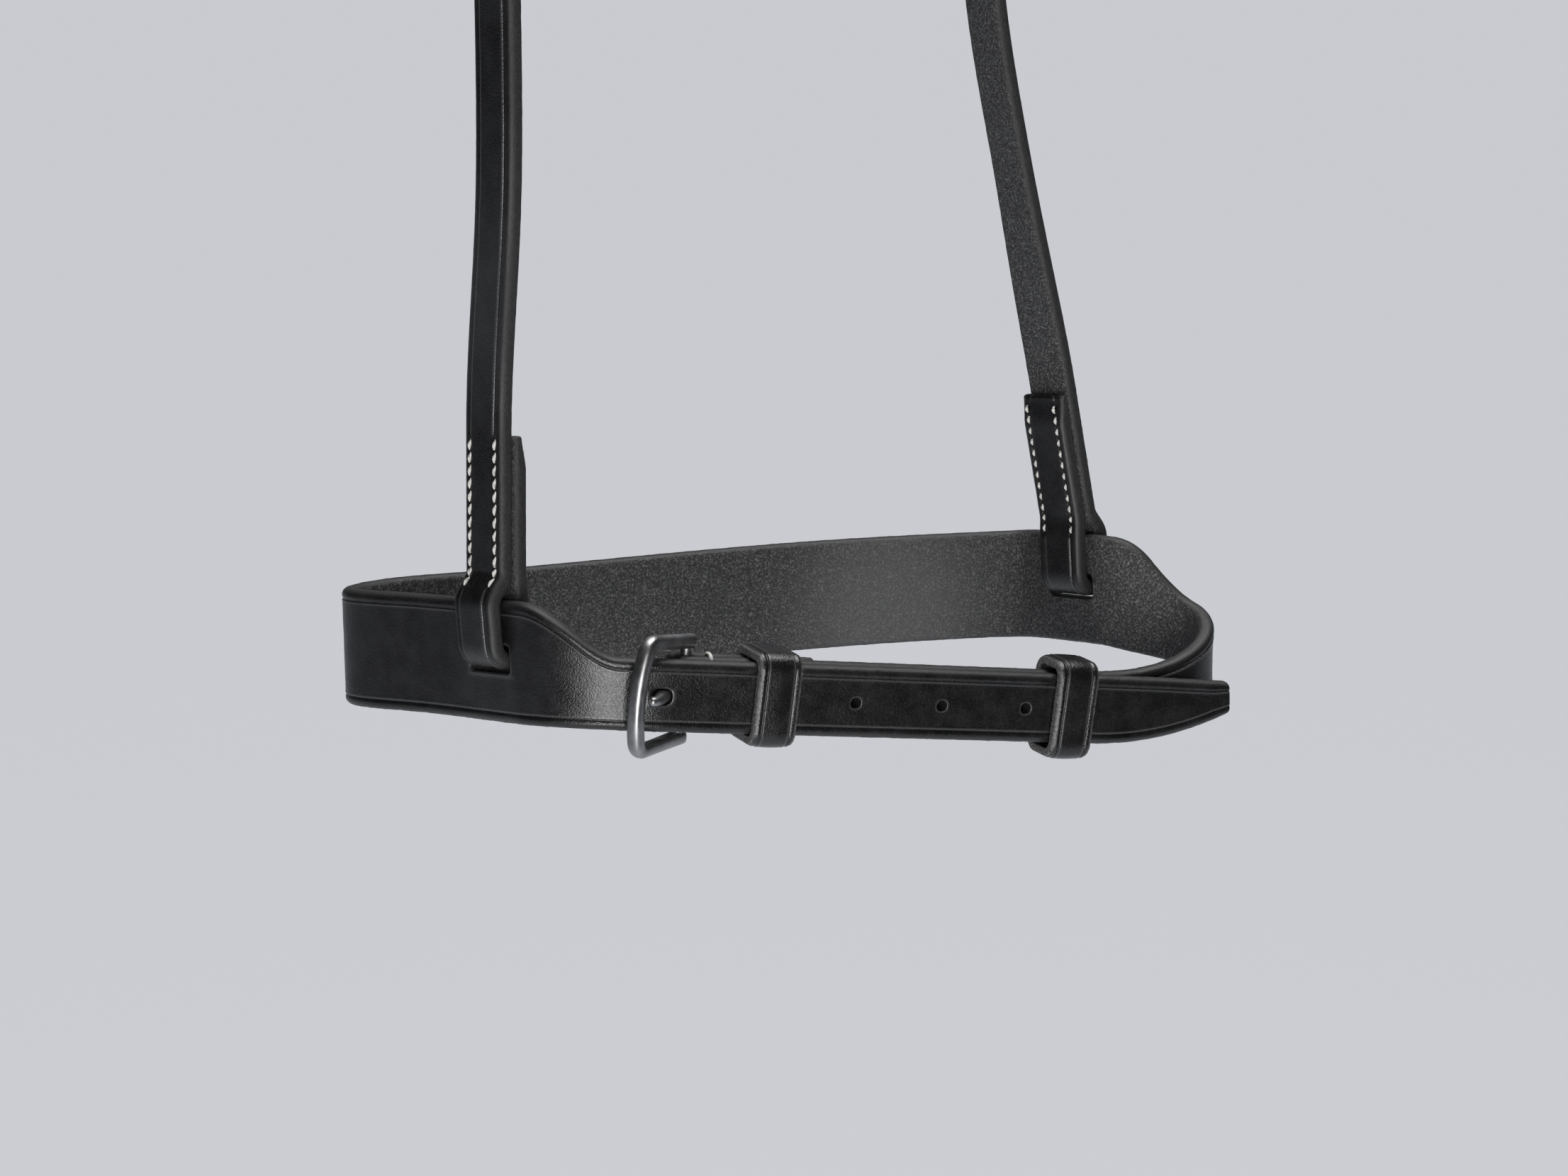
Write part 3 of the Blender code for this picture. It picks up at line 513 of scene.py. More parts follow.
def strap_section(high, low, face, back, corners):
    """Across and through of every column of a strap, row by row, with each column's edge and flesh shares.

    The columns go over the face from the high edge to the low one, round that edge, over the back, and
    round the high edge. Face and back columns mirror each other, so an opening can join them."""
    grain, flesh = corners
    narrow = narrowing(high, low)
    inward = (edge_zone - edge_zone[0] + grain) * narrow
    top, bottom = high[:, None] - inward, (low[:, None] + inward)[:, ::-1]
    share = np.linspace(0.0, 1.0, middle_columns + 2)[1:-1]
    middle = top[:, -1:] + (bottom[:, :1] - top[:, -1:]) * share
    over = np.concatenate([top, middle, bottom], axis=1)
    thick = (face - back)[:, None] / leather
    arc = np.linspace(0.0, math.pi / 2, 6)[1:]
    arc_in, arc_down = 1.0 - np.sin(arc), 1.0 - np.cos(arc)
    wall = np.array([0.33, 0.67])
    face_foot, back_foot = face[:, None] - grain * thick, back[:, None] + flesh * thick
    edge_in = np.concatenate(
        [grain * narrow * arc_in, np.zeros((len(high), 2)), flesh * narrow * arc_in[::-1]], axis=1
    )
    edge_through = np.concatenate(
        [
            face[:, None] - grain * thick * arc_down,
            face_foot + (back_foot - face_foot) * wall,
            back[:, None] + flesh * thick * arc_down[::-1],
        ],
        axis=1,
    )
    wide = over.shape[1]
    across = np.concatenate(
        [over, low[:, None] + edge_in, over[:, ::-1], (high[:, None] - edge_in)[:, ::-1]], axis=1
    )
    through = np.concatenate(
        [
            np.broadcast_to(face[:, None], over.shape),
            edge_through,
            np.broadcast_to(back[:, None], over.shape),
            edge_through[:, ::-1],
        ],
        axis=1,
    )
    edge_share = np.concatenate([smoothstep(arc / 1.2), [1.0, 1.0], smoothstep(arc / 1.2)[::-1]])
    flesh_share = np.concatenate([arc * 0.0, [0.2, 0.5], np.linspace(0.6, 1.0, 5)])
    edge = np.concatenate([np.zeros(wide), edge_share, np.zeros(wide), edge_share[::-1]])
    flesh = np.concatenate([np.zeros(wide), flesh_share, np.ones(wide), flesh_share[::-1]])
    return across, through, edge, flesh, wide


def creased(gap, narrow):
    """Depth and polish of a creased edge, for distances from it, and its burr's share, which is both real
    polish and painted paler as a highlight.

    The bead curves down into the crease as a square of the way across it, and the crease's far wall is
    short and steep, with a faint burr behind it."""
    past = gap - crease_inset * narrow
    bead = np.clip(1.0 + past / (bead_width * narrow), 0.0, 1.0) ** 2
    wall = np.clip(1.0 - past / crease_width, 0.0, 1.0)
    burr = bell(past - 1.6 * crease_width, crease_width)
    return burr_height * burr - crease_depth * np.where(past < 0.0, bead, wall), burr


def stitched(along, gap, seams):
    """The channel that a row of stitches lies in: a groove along the seam, deeper at each awl hole."""
    depth = np.zeros(np.broadcast(along, gap).shape)
    for start, end in seams:
        begun = smoothstep((along - start + channel_ease) / channel_ease)
        inside = begun * smoothstep((end + channel_ease - along) / channel_ease)
        beat = 0.5 + 0.5 * np.cos(2.0 * math.pi * (along - start) / stitch_pitch)
        groove = bell(gap - seam_inset, groove_width) * (0.55 + 0.45 * beat)
        bank = bell(gap - seam_inset + 2.1 * groove_width, groove_width) * (0.6 - 0.4 * beat)
        depth += inside * (0.16 * groove_depth * bank - groove_depth * groove)
    return depth


def away_from_seams(along, seams):
    """1 on plain leather and 0 along each seam, with smooth steps between, where the crease stops."""
    shares = []
    for start, end in seams:
        begun = smoothstep((along - start + crease_stops_at) / crease_stops_over)
        shares.append(begun * smoothstep((end + crease_stops_at - along) / crease_stops_over))
    return 1.0 - sum(shares)


def strap_surface(rows, outline, seams, corners, crown, seed):
    """Every point's across, through and burnish share, which is real polish and also painted paler as a
    highlight, row by row, with each column's edge and flesh shares.

    The face is lowered by its creases and stitch channels and raised by its crown, which is 1 less the
    square of the share of the half width. Ripples then move the face, the edges and the flesh side."""
    high, low, face, back = outline
    across, through, edge, flesh, wide = strap_section(high, low, face, back, corners)
    along = rows[:, None]
    narrow = narrowing(high, low)
    shift = grain_corner - corners[0]
    over = across[:, :wide]
    from_high, from_low = (high[:, None] - over) + shift, (over - low[:, None]) + shift
    plain = away_from_seams(along, seams)
    rubbed_and_highlight, depth = np.zeros(across.shape), np.zeros(over.shape)
    for gap_to in (from_high, from_low):
        # The burr's share lowers roughness as real polish, and the material also paints it a paler grey as a
        # highlight
        crease, polish = creased(gap_to, narrow)
        depth += crease * plain
        rubbed_and_highlight[:, :wide] += polish * plain
        depth += stitched(along, gap_to, seams)
    depth += face_waver * ripple(along, over, face_waver_pitch, seed)
    off_middle = (2.0 * over - (high + low)[:, None]) / (high - low)[:, None]
    depth += crown * (1.0 - off_middle**2)
    through = through.copy()
    through[:, :wide] += depth
    rough = edge[None, :] * edge_fuzz * ripple(along, through, edge_fuzz_pitch, seed + 2.0)
    rough += edge[None, :] * edge_waver * ripple(along, through, edge_waver_pitch, seed + 4.0)
    across = across + np.sign(across - ((high + low) / 2)[:, None]) * rough
    through += flesh[None, :] * flesh_waver * ripple(along, across, flesh_waver_pitch, seed + 6.0)
    return across, through, rubbed_and_highlight, over, edge, flesh


def limits_round(opening, rows, widths):
    """The rows and columns of the strap's grid that lie just outside an opening's margin."""
    reach = opening.half_length + opening.margin + abs(opening.lean) * half_leather
    top = int(np.searchsorted(rows, opening.middle - reach)) - 1
    end = int(np.searchsorted(rows, opening.middle + reach))
    left = int(np.sum(widths >= opening.high + opening.margin)) - 1
    right = int(len(widths) - np.sum(widths <= opening.low - opening.margin))
    return top, end, left, right


def rectangle_round(top, end, left, right):
    """Row and column of each grid point round a rectangle: down one side, across, up, and back across."""
    length, width = end - top, right - left
    down, up = np.arange(top, end), np.arange(end, top, -1)
    there, again = np.arange(left, right), np.arange(right, left, -1)
    i = np.concatenate([down, np.full(width, end), up, np.full(width, top)])
    j = np.concatenate([np.full(length, left), there, np.full(length, right), again])
    return i, j


def strap_piece(
    name, line, shape, openings, seams, fine, look, body, nodes, seed,
    corners=(grain_corner, flesh_corner), round_end=end_round, crown=0.0,
):
    """A strap's whole leather: its section carried along its line, with creases, seams and openings.

    Towards each end the section shrinks along a quarter circle. Each opening takes a rectangle out of
    the grid on face and back, and a passage joins the two rims. A fan closes each end."""
    fine = fine + [(0.0, end_round, end_step), (line.length - end_round, line.length, end_step)]
    rows = stations(line.length, row_step, fine)
    high, low, face, back = shape(rows)
    from_end = np.minimum(rows, line.length - rows)
    short = np.maximum(round_end - from_end, 0.0)
    pinch = round_end - np.sqrt(np.maximum(round_end**2 - short**2, 0.0))
    high, low, face, back = high - pinch, low + pinch, face - pinch, back + pinch
    outline = (high, low, face, back)
    across, through, rubbed_and_highlight, over, edge, flesh = strap_surface(rows, outline, seams, corners, crown, seed)
    wide = over.shape[1]

    points = line.place(rows[:, None], across, through)
    count, sides = across.shape
    edge = np.broadcast_to(edge, across.shape)
    flesh = np.broadcast_to(flesh, across.shape)
    kept = np.ones((count - 1, sides), bool)
    vertices = [points.reshape(-1, 3)]
    values = {"edge": [edge.ravel()], "flesh": [flesh.ravel()], "rubbed_and_highlight": [rubbed_and_highlight.ravel()]}
    faces = []
    total = count * sides
    back_last = wide + (sides - 2 * wide) // 2 + wide - 1
    for opening in openings:
        middle_row = int(np.argmin(np.abs(rows - opening.middle)))
        top, end, left, right = limits_round(opening, rows, over[middle_row])
        i, j = rectangle_round(top, end, left, right)
        mirror = back_last - j
        kept[top:end, left:right] = False
        kept[top:end, back_last - right : back_last - left] = False
        p = 2.0 * (i - top) / (end - top) - 1.0
        q = 1.0 - 2.0 * (j - left) / (right - left)
        rim = (rows[i], over[i, j], through[i, j], through[i, mirror])
        ring, extra = passage(opening, line, (rows, face, back), rim, p, q)
        ring_count, ring_sides = ring.shape[:2]
        vertices.append(ring.reshape(-1, 3))
        for label in values:
            values[label].append(extra[label].ravel())
        here = np.arange(ring_sides)
        turn = (here + 1) % ring_sides
        first, last = i * sides + j, i * sides + mirror
        below = total + (ring_count - 1) * ring_sides
        faces.append(grid_quads(ring_count, ring_sides, total).reshape(-1, 4))
        faces.append(np.stack([first, first[turn], total + turn, total + here], axis=-1))
        faces.append(np.stack([below + here, below + turn, last[turn], last], axis=-1))
        total += ring_count * ring_sides
    faces.append(grid_quads(count, sides)[kept])
    for row, flip in ((0, False), (count - 1, True)):
        middle = line.place(rows[row], (high[row] + low[row]) / 2, (face[row] + back[row]) / 2)
        vertices.append(middle[None])
        for label, value in (("edge", 1.0), ("flesh", 0.4), ("rubbed_and_highlight", 0.0)):
            values[label].append(np.array([value]))
        faces.append(fan(row * sides + np.arange(sides), total, flip))
        total += 1
    values = {label: np.concatenate(parts) for label, parts in values.items()}
    return make_piece(name, np.concatenate(vertices), faces, look, body, nodes, values)


def passage(opening, line, strap, rim, p, q):
    """The leather from an opening's rim in the face, over its lip, through, and out on the back.

    Both lips are quarter circles. Between the rim and the lip each row is a share of the way from one
    to the other. The front lip stands up by its raised height on all sides but the upper one."""
    rows, face, back = strap
    along, across, face_through, back_through = rim
    lip = opening.lip
    parts, edges, fleshes, rubs_and_highlights = [], [], [], []
    sides = 1.0 - smoothstep(q * 2.0 - 0.9)

    def add(grow, depth_of, edge, flesh, rub_and_highlight, blend=1.0, surface=None):
        """One row round the opening, grown outwards, and moved back to the rim where blend is under 1."""
        run, wide = opening.outline(p, q, grow)
        through = depth_of(run)
        run = run + opening.lean * through
        if blend < 1.0:
            run = along + (run - along) * blend
            wide = across + (wide - across) * blend
            through = surface * (1.0 - blend) + through * blend
        parts.append((run, wide, through))
        edges.append(edge)
        fleshes.append(flesh)
        rubs_and_highlights.append(rub_and_highlight)

    def front(run):
        """Height of the face at a run."""
        return np.interp(run, rows, face)

    def rear(run):
        """Height of the back at a run."""
        return np.interp(run, rows, back)

    for blend in (0.3, 0.55, 0.75, 0.9, 1.0):
        bulge = opening.raised * sides * smoothstep(blend * 1.25 - 0.25)
        # The lip's share lowers roughness as real polish, and is also painted a paler grey as a highlight on
        # the lip
        rub_and_highlight = 0.7 * smoothstep(blend * 4.0 - 3.0)
        add(lip, lambda run: front(run) + bulge / max(blend, 0.3), 0.0, 0.0, rub_and_highlight, blend, face_through)
    for angle in np.radians([30.0, 60.0, 90.0]):
        drop = lip * (1.0 - math.cos(angle)) - opening.raised * sides * math.cos(angle) ** 2
        turned = math.sin(angle)
        add(lip * (1.0 - turned), lambda run: front(run) - drop, turned, 0.0, 0.9 * math.cos(angle))
    for share in (0.35, 0.7):
        add(0.0, lambda run: (front(run) - lip) * (1.0 - share) + (rear(run) + lip) * share, 1.0, 0.3, 0.0)
    for angle in np.radians([90.0, 60.0, 30.0]):
        rise = lip * (1.0 - math.cos(angle))
        turned = math.sin(angle)
        add(lip * (1.0 - turned), lambda run: rear(run) + rise, turned, 0.6, 0.5 * math.cos(angle))
    for blend in (1.0, 0.8, 0.55, 0.3):
        add(lip, rear, 0.0, 1.0, 0.0, blend, back_through)
    grids = [np.stack([part[k] for part in parts]) for k in range(3)]
    points = line.place(*grids)
    shape = grids[0].shape
    extra = {
        "edge": np.broadcast_to(np.array(edges)[:, None], shape),
        "flesh": np.broadcast_to(np.array(fleshes)[:, None], shape),
        "rubbed_and_highlight": np.broadcast_to(np.array(rubs_and_highlights)[:, None], shape),
    }
    return points, extra


# The straps' lines and shapes


def loop_point(shares):
    """A point of the noseband: its shares times the slots' half span, the nose's reach and the sag."""
    x, y, z = shares
    return np.array([x * slot_half_span, y * nose_reach, z * loop_sag - hang_drop])


def strap_knots(shares):
    """Points of a head strap: as on the noseband, but raised above it by shares of the hang's drop."""
    return [loop_point((x, y, 0.0)) + np.array([0.0, 0.0, z * hang_drop]) for x, y, z in shares]


def jaw_place():
    """Frame of the nose buckle: x along the jaw strap to the billet's point, y in, z up."""
    level = math.cos(jaw_pitch)
    along = np.array([math.cos(jaw_yaw) * level, math.sin(jaw_yaw) * level, math.sin(jaw_pitch)])
    up = unit(np.array([0.0, 0.0, 1.0]) - along[2] * along)
    return Place(loop_point(nose_buckle_share), along, np.cross(up, along))


def cheek_place():
    """Frame of the cheek buckle: x down the strap to its point, y in towards the horse."""
    inward = np.array([math.cos(near_twist), -math.sin(near_twist), 0.0])
    down = np.array([0.0, 0.0, -1.0])
    along = math.cos(cheek_lean) * down - math.sin(cheek_lean) * inward
    square = math.cos(cheek_lean) * inward + math.sin(cheek_lean) * down
    return Place((-cheek_buckle_across, 0.0, -cheek_buckle_drop), along, square)


def strip_place(shares, out_sign, yaw, pitch):
    """Frame at a slot: y in towards the horse, z across the band; near x points back, off x forward."""
    inward = -out_sign * np.array([math.cos(yaw), math.sin(yaw), 0.0])
    forward = np.array([-math.sin(yaw), math.cos(yaw), 0.0])
    upward = math.sin(pitch) * forward + math.cos(pitch) * np.array([0.0, 0.0, 1.0])
    return Place(loop_point(shares), np.cross(inward, upward), inward)


def band_top():
    """The upper edge of the nose band above the middle of the billet's width."""
    return nose_width - billet_width / 2


def loop_turn_height():
    """The height at which a cheek loop starts to turn under: the slot's floor, a gap, and its outside."""
    outer = half_leather + fit_gap + leather
    return band_top() - slot_floor + slot_edge_gap + outer


def fold_pieces(place, straight_from):
    """A buckle strap's line: in along the billet, round the bar, and back as the tail."""
    bar = place.at(bar_past_hole, bar_depth)
    run_in = line_piece(place.at(straight_from, layer_step), place.at(bar_past_hole, layer_step))
    bend = arc_piece(bar, -place.y, -place.x, fold_radius, math.pi)
    knots = (place.at(bar_past_hole, bar_depth + fold_radius), place.at(settled_at, tail_depth))
    settle = spline_piece(knots, place.x, place.x)
    return run_in, bend, settle


def pared_back(runs, pare_from, pare_to):
    """The flesh side along a buckle strap: it rises by the paring, as a smooth step between two runs."""
    pare = smoothstep((runs - pare_from) / (pare_to - pare_from))
    return -half_leather + fold_skive * pare


def punched_hole(run):
    """A round hole in the middle of a strap's width."""
    return Opening(run, hole_radius, -hole_radius, hole_radius, hole_radius, hole_margin, hole_lip)


def eye_slot(start, end):
    """The slot in a fold, between two runs, that the prong's eye stands in."""
    middle, half_long = (start + end) / 2, (end - start) / 2
    half = eye_half_width + fit_gap
    return Opening(middle, half_long, -half, half, half * 0.9, eye_slot_margin, hole_lip)


def eye_slot_reach():
    """The station as far as which the eye's slot reaches past the bar."""
    return bar_past_hole + eye_radius + fit_gap * 4


def finer_at(seams, openings, step):
    """Ranges of a strap whose rows lie closer: its seams, and its openings at the given step."""
    ranges = [(start - fine_past_seam, end + fine_past_seam, detail_step) for start, end in seams]
    for opening in openings:
        ranges.append((opening.middle - opening.half_length, opening.middle + opening.half_length, step))
    return ranges


class Nosepiece:
    """The noseband's one strap: point, billet, near shoulder, nose band, off shoulder, jaw strap, tail."""

    def __init__(self, place, near_strip, off_strip):
        run_in, bend, settle = fold_pieces(place, nose_straight_to)
        tip_knots = (place.at(nose_tip_at, 0.0, tip_lift), place.at(nose_straight_to))
        steepness = 2.0 * tip_lift / (nose_tip_at - nose_straight_to)
        tip = spline_piece(tip_knots, unit(-place.x - steepness * place.z), -place.x)
        billet = line_piece(tip_knots[-1], place.at(billet_bends_at))
        near_start, near_end = near_strip.at(slot_straight), near_strip.at(-slot_straight)
        off_start, off_end = off_strip.at(slot_straight), off_strip.at(-slot_straight)
        shoulder = spline_piece([place.at(billet_bends_at), near_start], -place.x, -near_strip.x)
        nose_knots = [near_end] + [loop_point(shares) for shares in nose_line_shares] + [off_start]
        nose = spline_piece(nose_knots, -near_strip.x, -off_strip.x)
        jaw_knots = [off_end] + [loop_point(shares) for shares in off_jaw_shares]
        jaw_knots.append(place.at(nose_straight_to, layer_step))
        jaw = spline_piece(jaw_knots, -off_strip.x, -place.x)
        tail = line_piece(place.at(settled_at, tail_depth), place.at(nose_tail_end, tail_depth))
        pieces = [
            tip, billet, shoulder, line_piece(near_start, near_end), nose, line_piece(off_start, off_end),
            jaw, run_in, bend, settle, tail,
        ]
        points, ways, starts = join_pieces(pieces)
        reference = np.tile(np.array([0.0, 0.0, 1.0]), (len(points), 1))
        reference[starts[7] :] = place.z
        self.line = StrapLine(points, ways, reference)
        run = self.line.run
        self.near = run[starts[3]] + slot_straight
        self.off = run[starts[5]] + slot_straight
        self.billet_start = run[starts[1]]
        self.run_in_start = run[starts[7]]
        self.bend_start = run[starts[8]]
        self.tail_start = run[starts[10]]
        self.settle_start, self.settle_end = starts[9], starts[10]

    def billet_run(self, x):
        """The billet's run at a station x of the fastening."""
        return self.billet_start + nose_straight_to - x

    def jaw_run(self, x):
        """The jaw strap's run at a station x, on its way in to the bar."""
        return self.run_in_start + nose_straight_to - x

    def tail_run(self, x):
        """The tail's run at a station x, behind the jaw strap."""
        return self.tail_start + x - settled_at

    def shape(self, run):
        """High and low edge, face and back: a billet that widens by smooth steps into the nose band at
        each shoulder, and whose point narrows as the square of the share of its length."""
        rise = smoothstep((run - self.near + shoulder_flat + shoulder_length) / shoulder_length)
        fall = smoothstep((self.off + shoulder_flat + shoulder_length - run) / shoulder_length)
        half = billet_width / 2
        taper = np.clip(1.0 - run / tip_length, 0.0, 1.0) ** 2
        high = half + (nose_width - billet_width) * rise * fall - (half - tip_top) * taper
        low = -half + (half - tip_bottom) * taper
        face = np.full(len(run), half_leather)
        back = pared_back(run, self.jaw_run(settled_at), self.bend_start)
        return high, low, face, back


def build_nosepiece(nose, place, look):
    """The noseband's strap with its two cheek slots, its holes, and the slot and seams of its fold."""
    half_slot = cheek_width / 2 + slot_side_gap
    floor, roof = band_top() - slot_floor, loop_turn_height() - strip_dip
    openings = [
        Opening(run, half_slot, floor, roof, slot_corner, slot_margin, slot_lip, slot_lip_raised)
        for run in (nose.near, nose.off)
    ]
    openings += [punched_hole(nose.billet_run(hole_pitch * i)) for i in range(1, nose_holes)]
    openings.append(prong_hole(nose.billet_run))
    end_point = place.at(eye_slot_reach(), bar_depth + fold_radius)
    end = nose.line.run_of(end_point, nose.settle_start, nose.settle_end)
    openings.append(eye_slot(nose.jaw_run(eye_slot_reach()), end))
    first, last = fold_seam_start + fold_settle / 2, nose_tail_end - seam_inset
    seams = [
        (nose.jaw_run(last), nose.jaw_run(first)),
        (nose.tail_run(first), nose.tail_run(last)),
    ]
    fine = finer_at(seams, openings, opening_step)
    strap_piece(
        "noseband_leather", nose.line, nose.shape, openings, seams, fine,
        look, "noseband", ["nosepiece"], 0.3,
    )
    return nose.line, seams


def prong_line():
    """The prong's middle, from its eye through the billet to the frame's front, relative to the bar."""
    front = np.array([-frame_front - bar_past_hole, -frame_depth - bar_depth])
    front = front * (1.0 + frame_bow / np.linalg.norm(front))
    rest = frame_radius + fit_gap + prong_tip_radius
    tip = front + rest * np.array([math.cos(prong_rest_angle), -math.sin(prong_rest_angle)])
    eye = eye_radius * np.array([-0.75, -0.5])
    heights = np.array([half_leather, -half_leather]) - bar_depth
    across = eye[0] + (tip[0] - eye[0]) * (heights - eye[1]) / (tip[1] - eye[1])
    knots = (eye, (across[0], heights[0]), (across[1], heights[1]), tip)
    return np.array([(x, y, 0.0) for x, y in knots])


def prong_hole(run_at):
    """The first hole, stretched and leaning along the prong. run_at gives the run of a station x."""
    knots = prong_line()
    lean = (knots[1][0] - knots[2][0]) / (knots[1][1] - knots[2][1])
    middle = (knots[1][0] + knots[2][0]) / 2 + bar_past_hole
    half_long = prong_radius * math.hypot(1.0, lean) + prong_hole_stretch * prong_play
    half = prong_radius + prong_play
    run = run_at(middle + prong_hole_shift * prong_play)
    corner = half * 0.95
    return Opening(run, half_long, -half, half, corner, hole_margin, prong_hole_lip, prong_hole_raised, lean)


def loop_pieces(strip, inward, lean):
    """A cheek loop round the band: tail, through the slot, and up again; and the way it leaves by."""
    turn = loop_turn_height()
    strip_top = band_top() - slot_top_inset
    rise = unit(strip.z + lean * strip.y)
    square = np.cross(strip.x, rise)
    middle = strip.at(0.0, inward, band_top() + merge_height)
    face_foot, tail_foot = middle + layer_step / 2 * square, middle - layer_step / 2 * square
    tail_join = spline_piece((tail_foot, strip.at(0.0, layer_step, strip_top)), -rise, -strip.z)
    inner = line_piece(strip.at(0.0, layer_step, strip_top), strip.at(0.0, layer_step, turn))
    bend = arc_piece(strip.at(0.0, 0.0, turn), strip.y, -strip.z, layer_step, math.pi)
    outer = line_piece(strip.at(0.0, -layer_step, turn), strip.at(0.0, -layer_step, strip_top))
    face_join = spline_piece((strip.at(0.0, -layer_step, strip_top), face_foot), strip.z, rise)
    sewn_length = loop_seam_length + loop_tail_past_seam
    tail = line_piece(tail_foot + sewn_length * rise, tail_foot)
    face = line_piece(face_foot, face_foot + sewn_length * rise)
    return (tail, tail_join, inner, bend, outer, face_join, face), rise


def across_field(points, strip, twist):
    """Across a cheek strap: as its slot at the loop, turned above it, and fore-and-aft at the crown."""
    seam_end = strip.origin[2] + band_top() + merge_height + loop_seam_length + loop_tail_past_seam
    turned = smoothstep((points[:, 2] - seam_end) / twist_rise)
    straight = smoothstep((points[:, 2] + cheek_buckle_drop - crown_straight) / untwist_rise)
    forward = strip.x if strip.x[1] > 0 else -strip.x
    angle = (twist * turned * (1.0 - straight))[:, None]
    flat = np.sin(angle) * np.array([1.0, 0.0, 0.0]) + np.cos(angle) * np.array([0.0, 1.0, 0.0])
    return unit(forward * (1.0 - turned[:, None]) + flat * turned[:, None])


def build_near_cheek(strip, place, look):
    """Short strap: sewn loop round the near slot, up to the fold that carries the cheek buckle."""
    loop, rise = loop_pieces(strip, near_loop_inward, near_loop_lean)
    run_in, bend, settle = fold_pieces(place, cheek_straight_to)
    knots = [loop[-1][0][-1]] + strap_knots(near_strap_shares)
    knots.append(place.at(cheek_straight_to, layer_step))
    climb = spline_piece(knots, rise, -place.x)
    tail = line_piece(place.at(settled_at, tail_depth), place.at(cheek_tail_end, tail_depth))
    points, ways, starts = join_pieces([*loop, climb, run_in, bend, settle, tail])
    reference = -across_field(points, strip, near_twist)
    reference[starts[8] :] = place.z
    line = StrapLine(points, ways, reference)
    run = line.run
    in_start, bend_start, tail_start = run[starts[8]], run[starts[9]], run[starts[11]]

    def in_run(x):
        """The strap's run at a station x, on its way in to the bar."""
        return in_start + cheek_straight_to - x

    def tail_run(x):
        """The tail's run at a station x, behind the strap."""
        return tail_start - settled_at + x

    def shape(runs):
        """An even width. The face is pared at the loop's tail, and the back at the fold."""
        half = np.full(len(runs), cheek_width / 2)
        face = half_leather - tail_skive * (1.0 - smoothstep(runs / tail_skive_length))
        return half, -half, face, pared_back(runs, in_run(settled_at), bend_start)

    end_point = place.at(eye_slot_reach(), bar_depth + fold_radius)
    end = line.run_of(end_point, starts[10], starts[11])
    openings = [eye_slot(in_run(eye_slot_reach()), end)]
    loop_from, loop_to = run[starts[1]], run[starts[6]]
    loop_seams = [
        (loop_from - loop_seam_length, loop_from - stitch_pitch / 2),
        (loop_to - near_seam_onto_join, loop_to + loop_seam_length + near_seam_past),
    ]
    first, last = fold_seam_start + fold_settle / 2, cheek_tail_end - seam_inset
    fold_seams = [(in_run(last), in_run(first)), (tail_run(first), tail_run(last))]
    seams = loop_seams + fold_seams
    fine = finer_at(seams, openings, fold_slot_step) + [(loop_from, loop_to, opening_step)]
    strap_piece(
        "near_cheek_leather", line, shape, openings, seams, fine,
        look, "headstall", ["near_cheek_strap"], 1.7,
    )
    return line, loop_seams, fold_seams


def build_sliphead(strip, near_strip, place, look):
    """Long strap: point, holes, over the crown, down the off side to its sewn loop at the off slot."""
    tip_foot = place.at(cheek_tip_at - cheek_tip_length)
    tip = line_piece(place.at(cheek_tip_at), tip_foot)
    point_end = line_piece(tip_foot, place.at(-crown_straight))
    loop, rise = loop_pieces(strip, off_loop_inward, off_loop_lean)
    side = math.pi * crown_side_share
    knots = [place.at(-crown_straight)]
    for share in (-1.0, -0.5, 0.0, 0.5, 1.0):
        across = crown_half_width * math.sin(share * side) / math.sin(side)
        fall = crown_rise * (1.0 - math.cos(share * side)) / (1.0 - math.cos(side))
        knots.append(np.array([across, 0.0, half_leather - fall]))
    knots += strap_knots(off_strap_shares)[::-1] + [loop[-1][0][-1]]
    over = spline_piece(knots, -place.x, -rise)
    points, ways, starts = join_pieces([tip, point_end, over] + reversed_pieces(loop))
    off_side = (points[:, 0] > 0.0)[:, None]
    off_field = across_field(points, strip, off_twist)
    near_field = across_field(points, near_strip, near_twist)
    line = StrapLine(points, ways, -np.where(off_side, off_field, near_field))
    run = line.run

    def shape(runs):
        """An even width, narrowed at the point as a square. The face is pared at the loop's tail."""
        taper = np.clip(1.0 - runs / cheek_tip_length, 0.0, 1.0) ** 2
        half = cheek_width / 2 - (cheek_width / 2 - tip_bottom) * taper
        face = half_leather - tail_skive * (1.0 - smoothstep((line.length - runs) / tail_skive_length))
        return half, -half, face, np.full(len(runs), -half_leather)

    openings = [prong_hole(lambda x: cheek_tip_at - x)]
    openings += [punched_hole(cheek_tip_at - hole_pitch * i) for i in range(1, cheek_holes)]
    face_foot, tail_foot = run[starts[4]], run[starts[9]]
    seams = [
        (face_foot - loop_seam_length, face_foot),
        (tail_foot - off_seam_onto_join, tail_foot + loop_seam_length),
    ]
    fine = finer_at(seams, openings, opening_step) + [(face_foot, tail_foot, opening_step)]
    strap_piece(
        "sliphead_leather", line, shape, openings, seams, fine,
        look, "headstall", ["sliphead_strap"], 2.9,
    )
    return line, seams


# Keepers


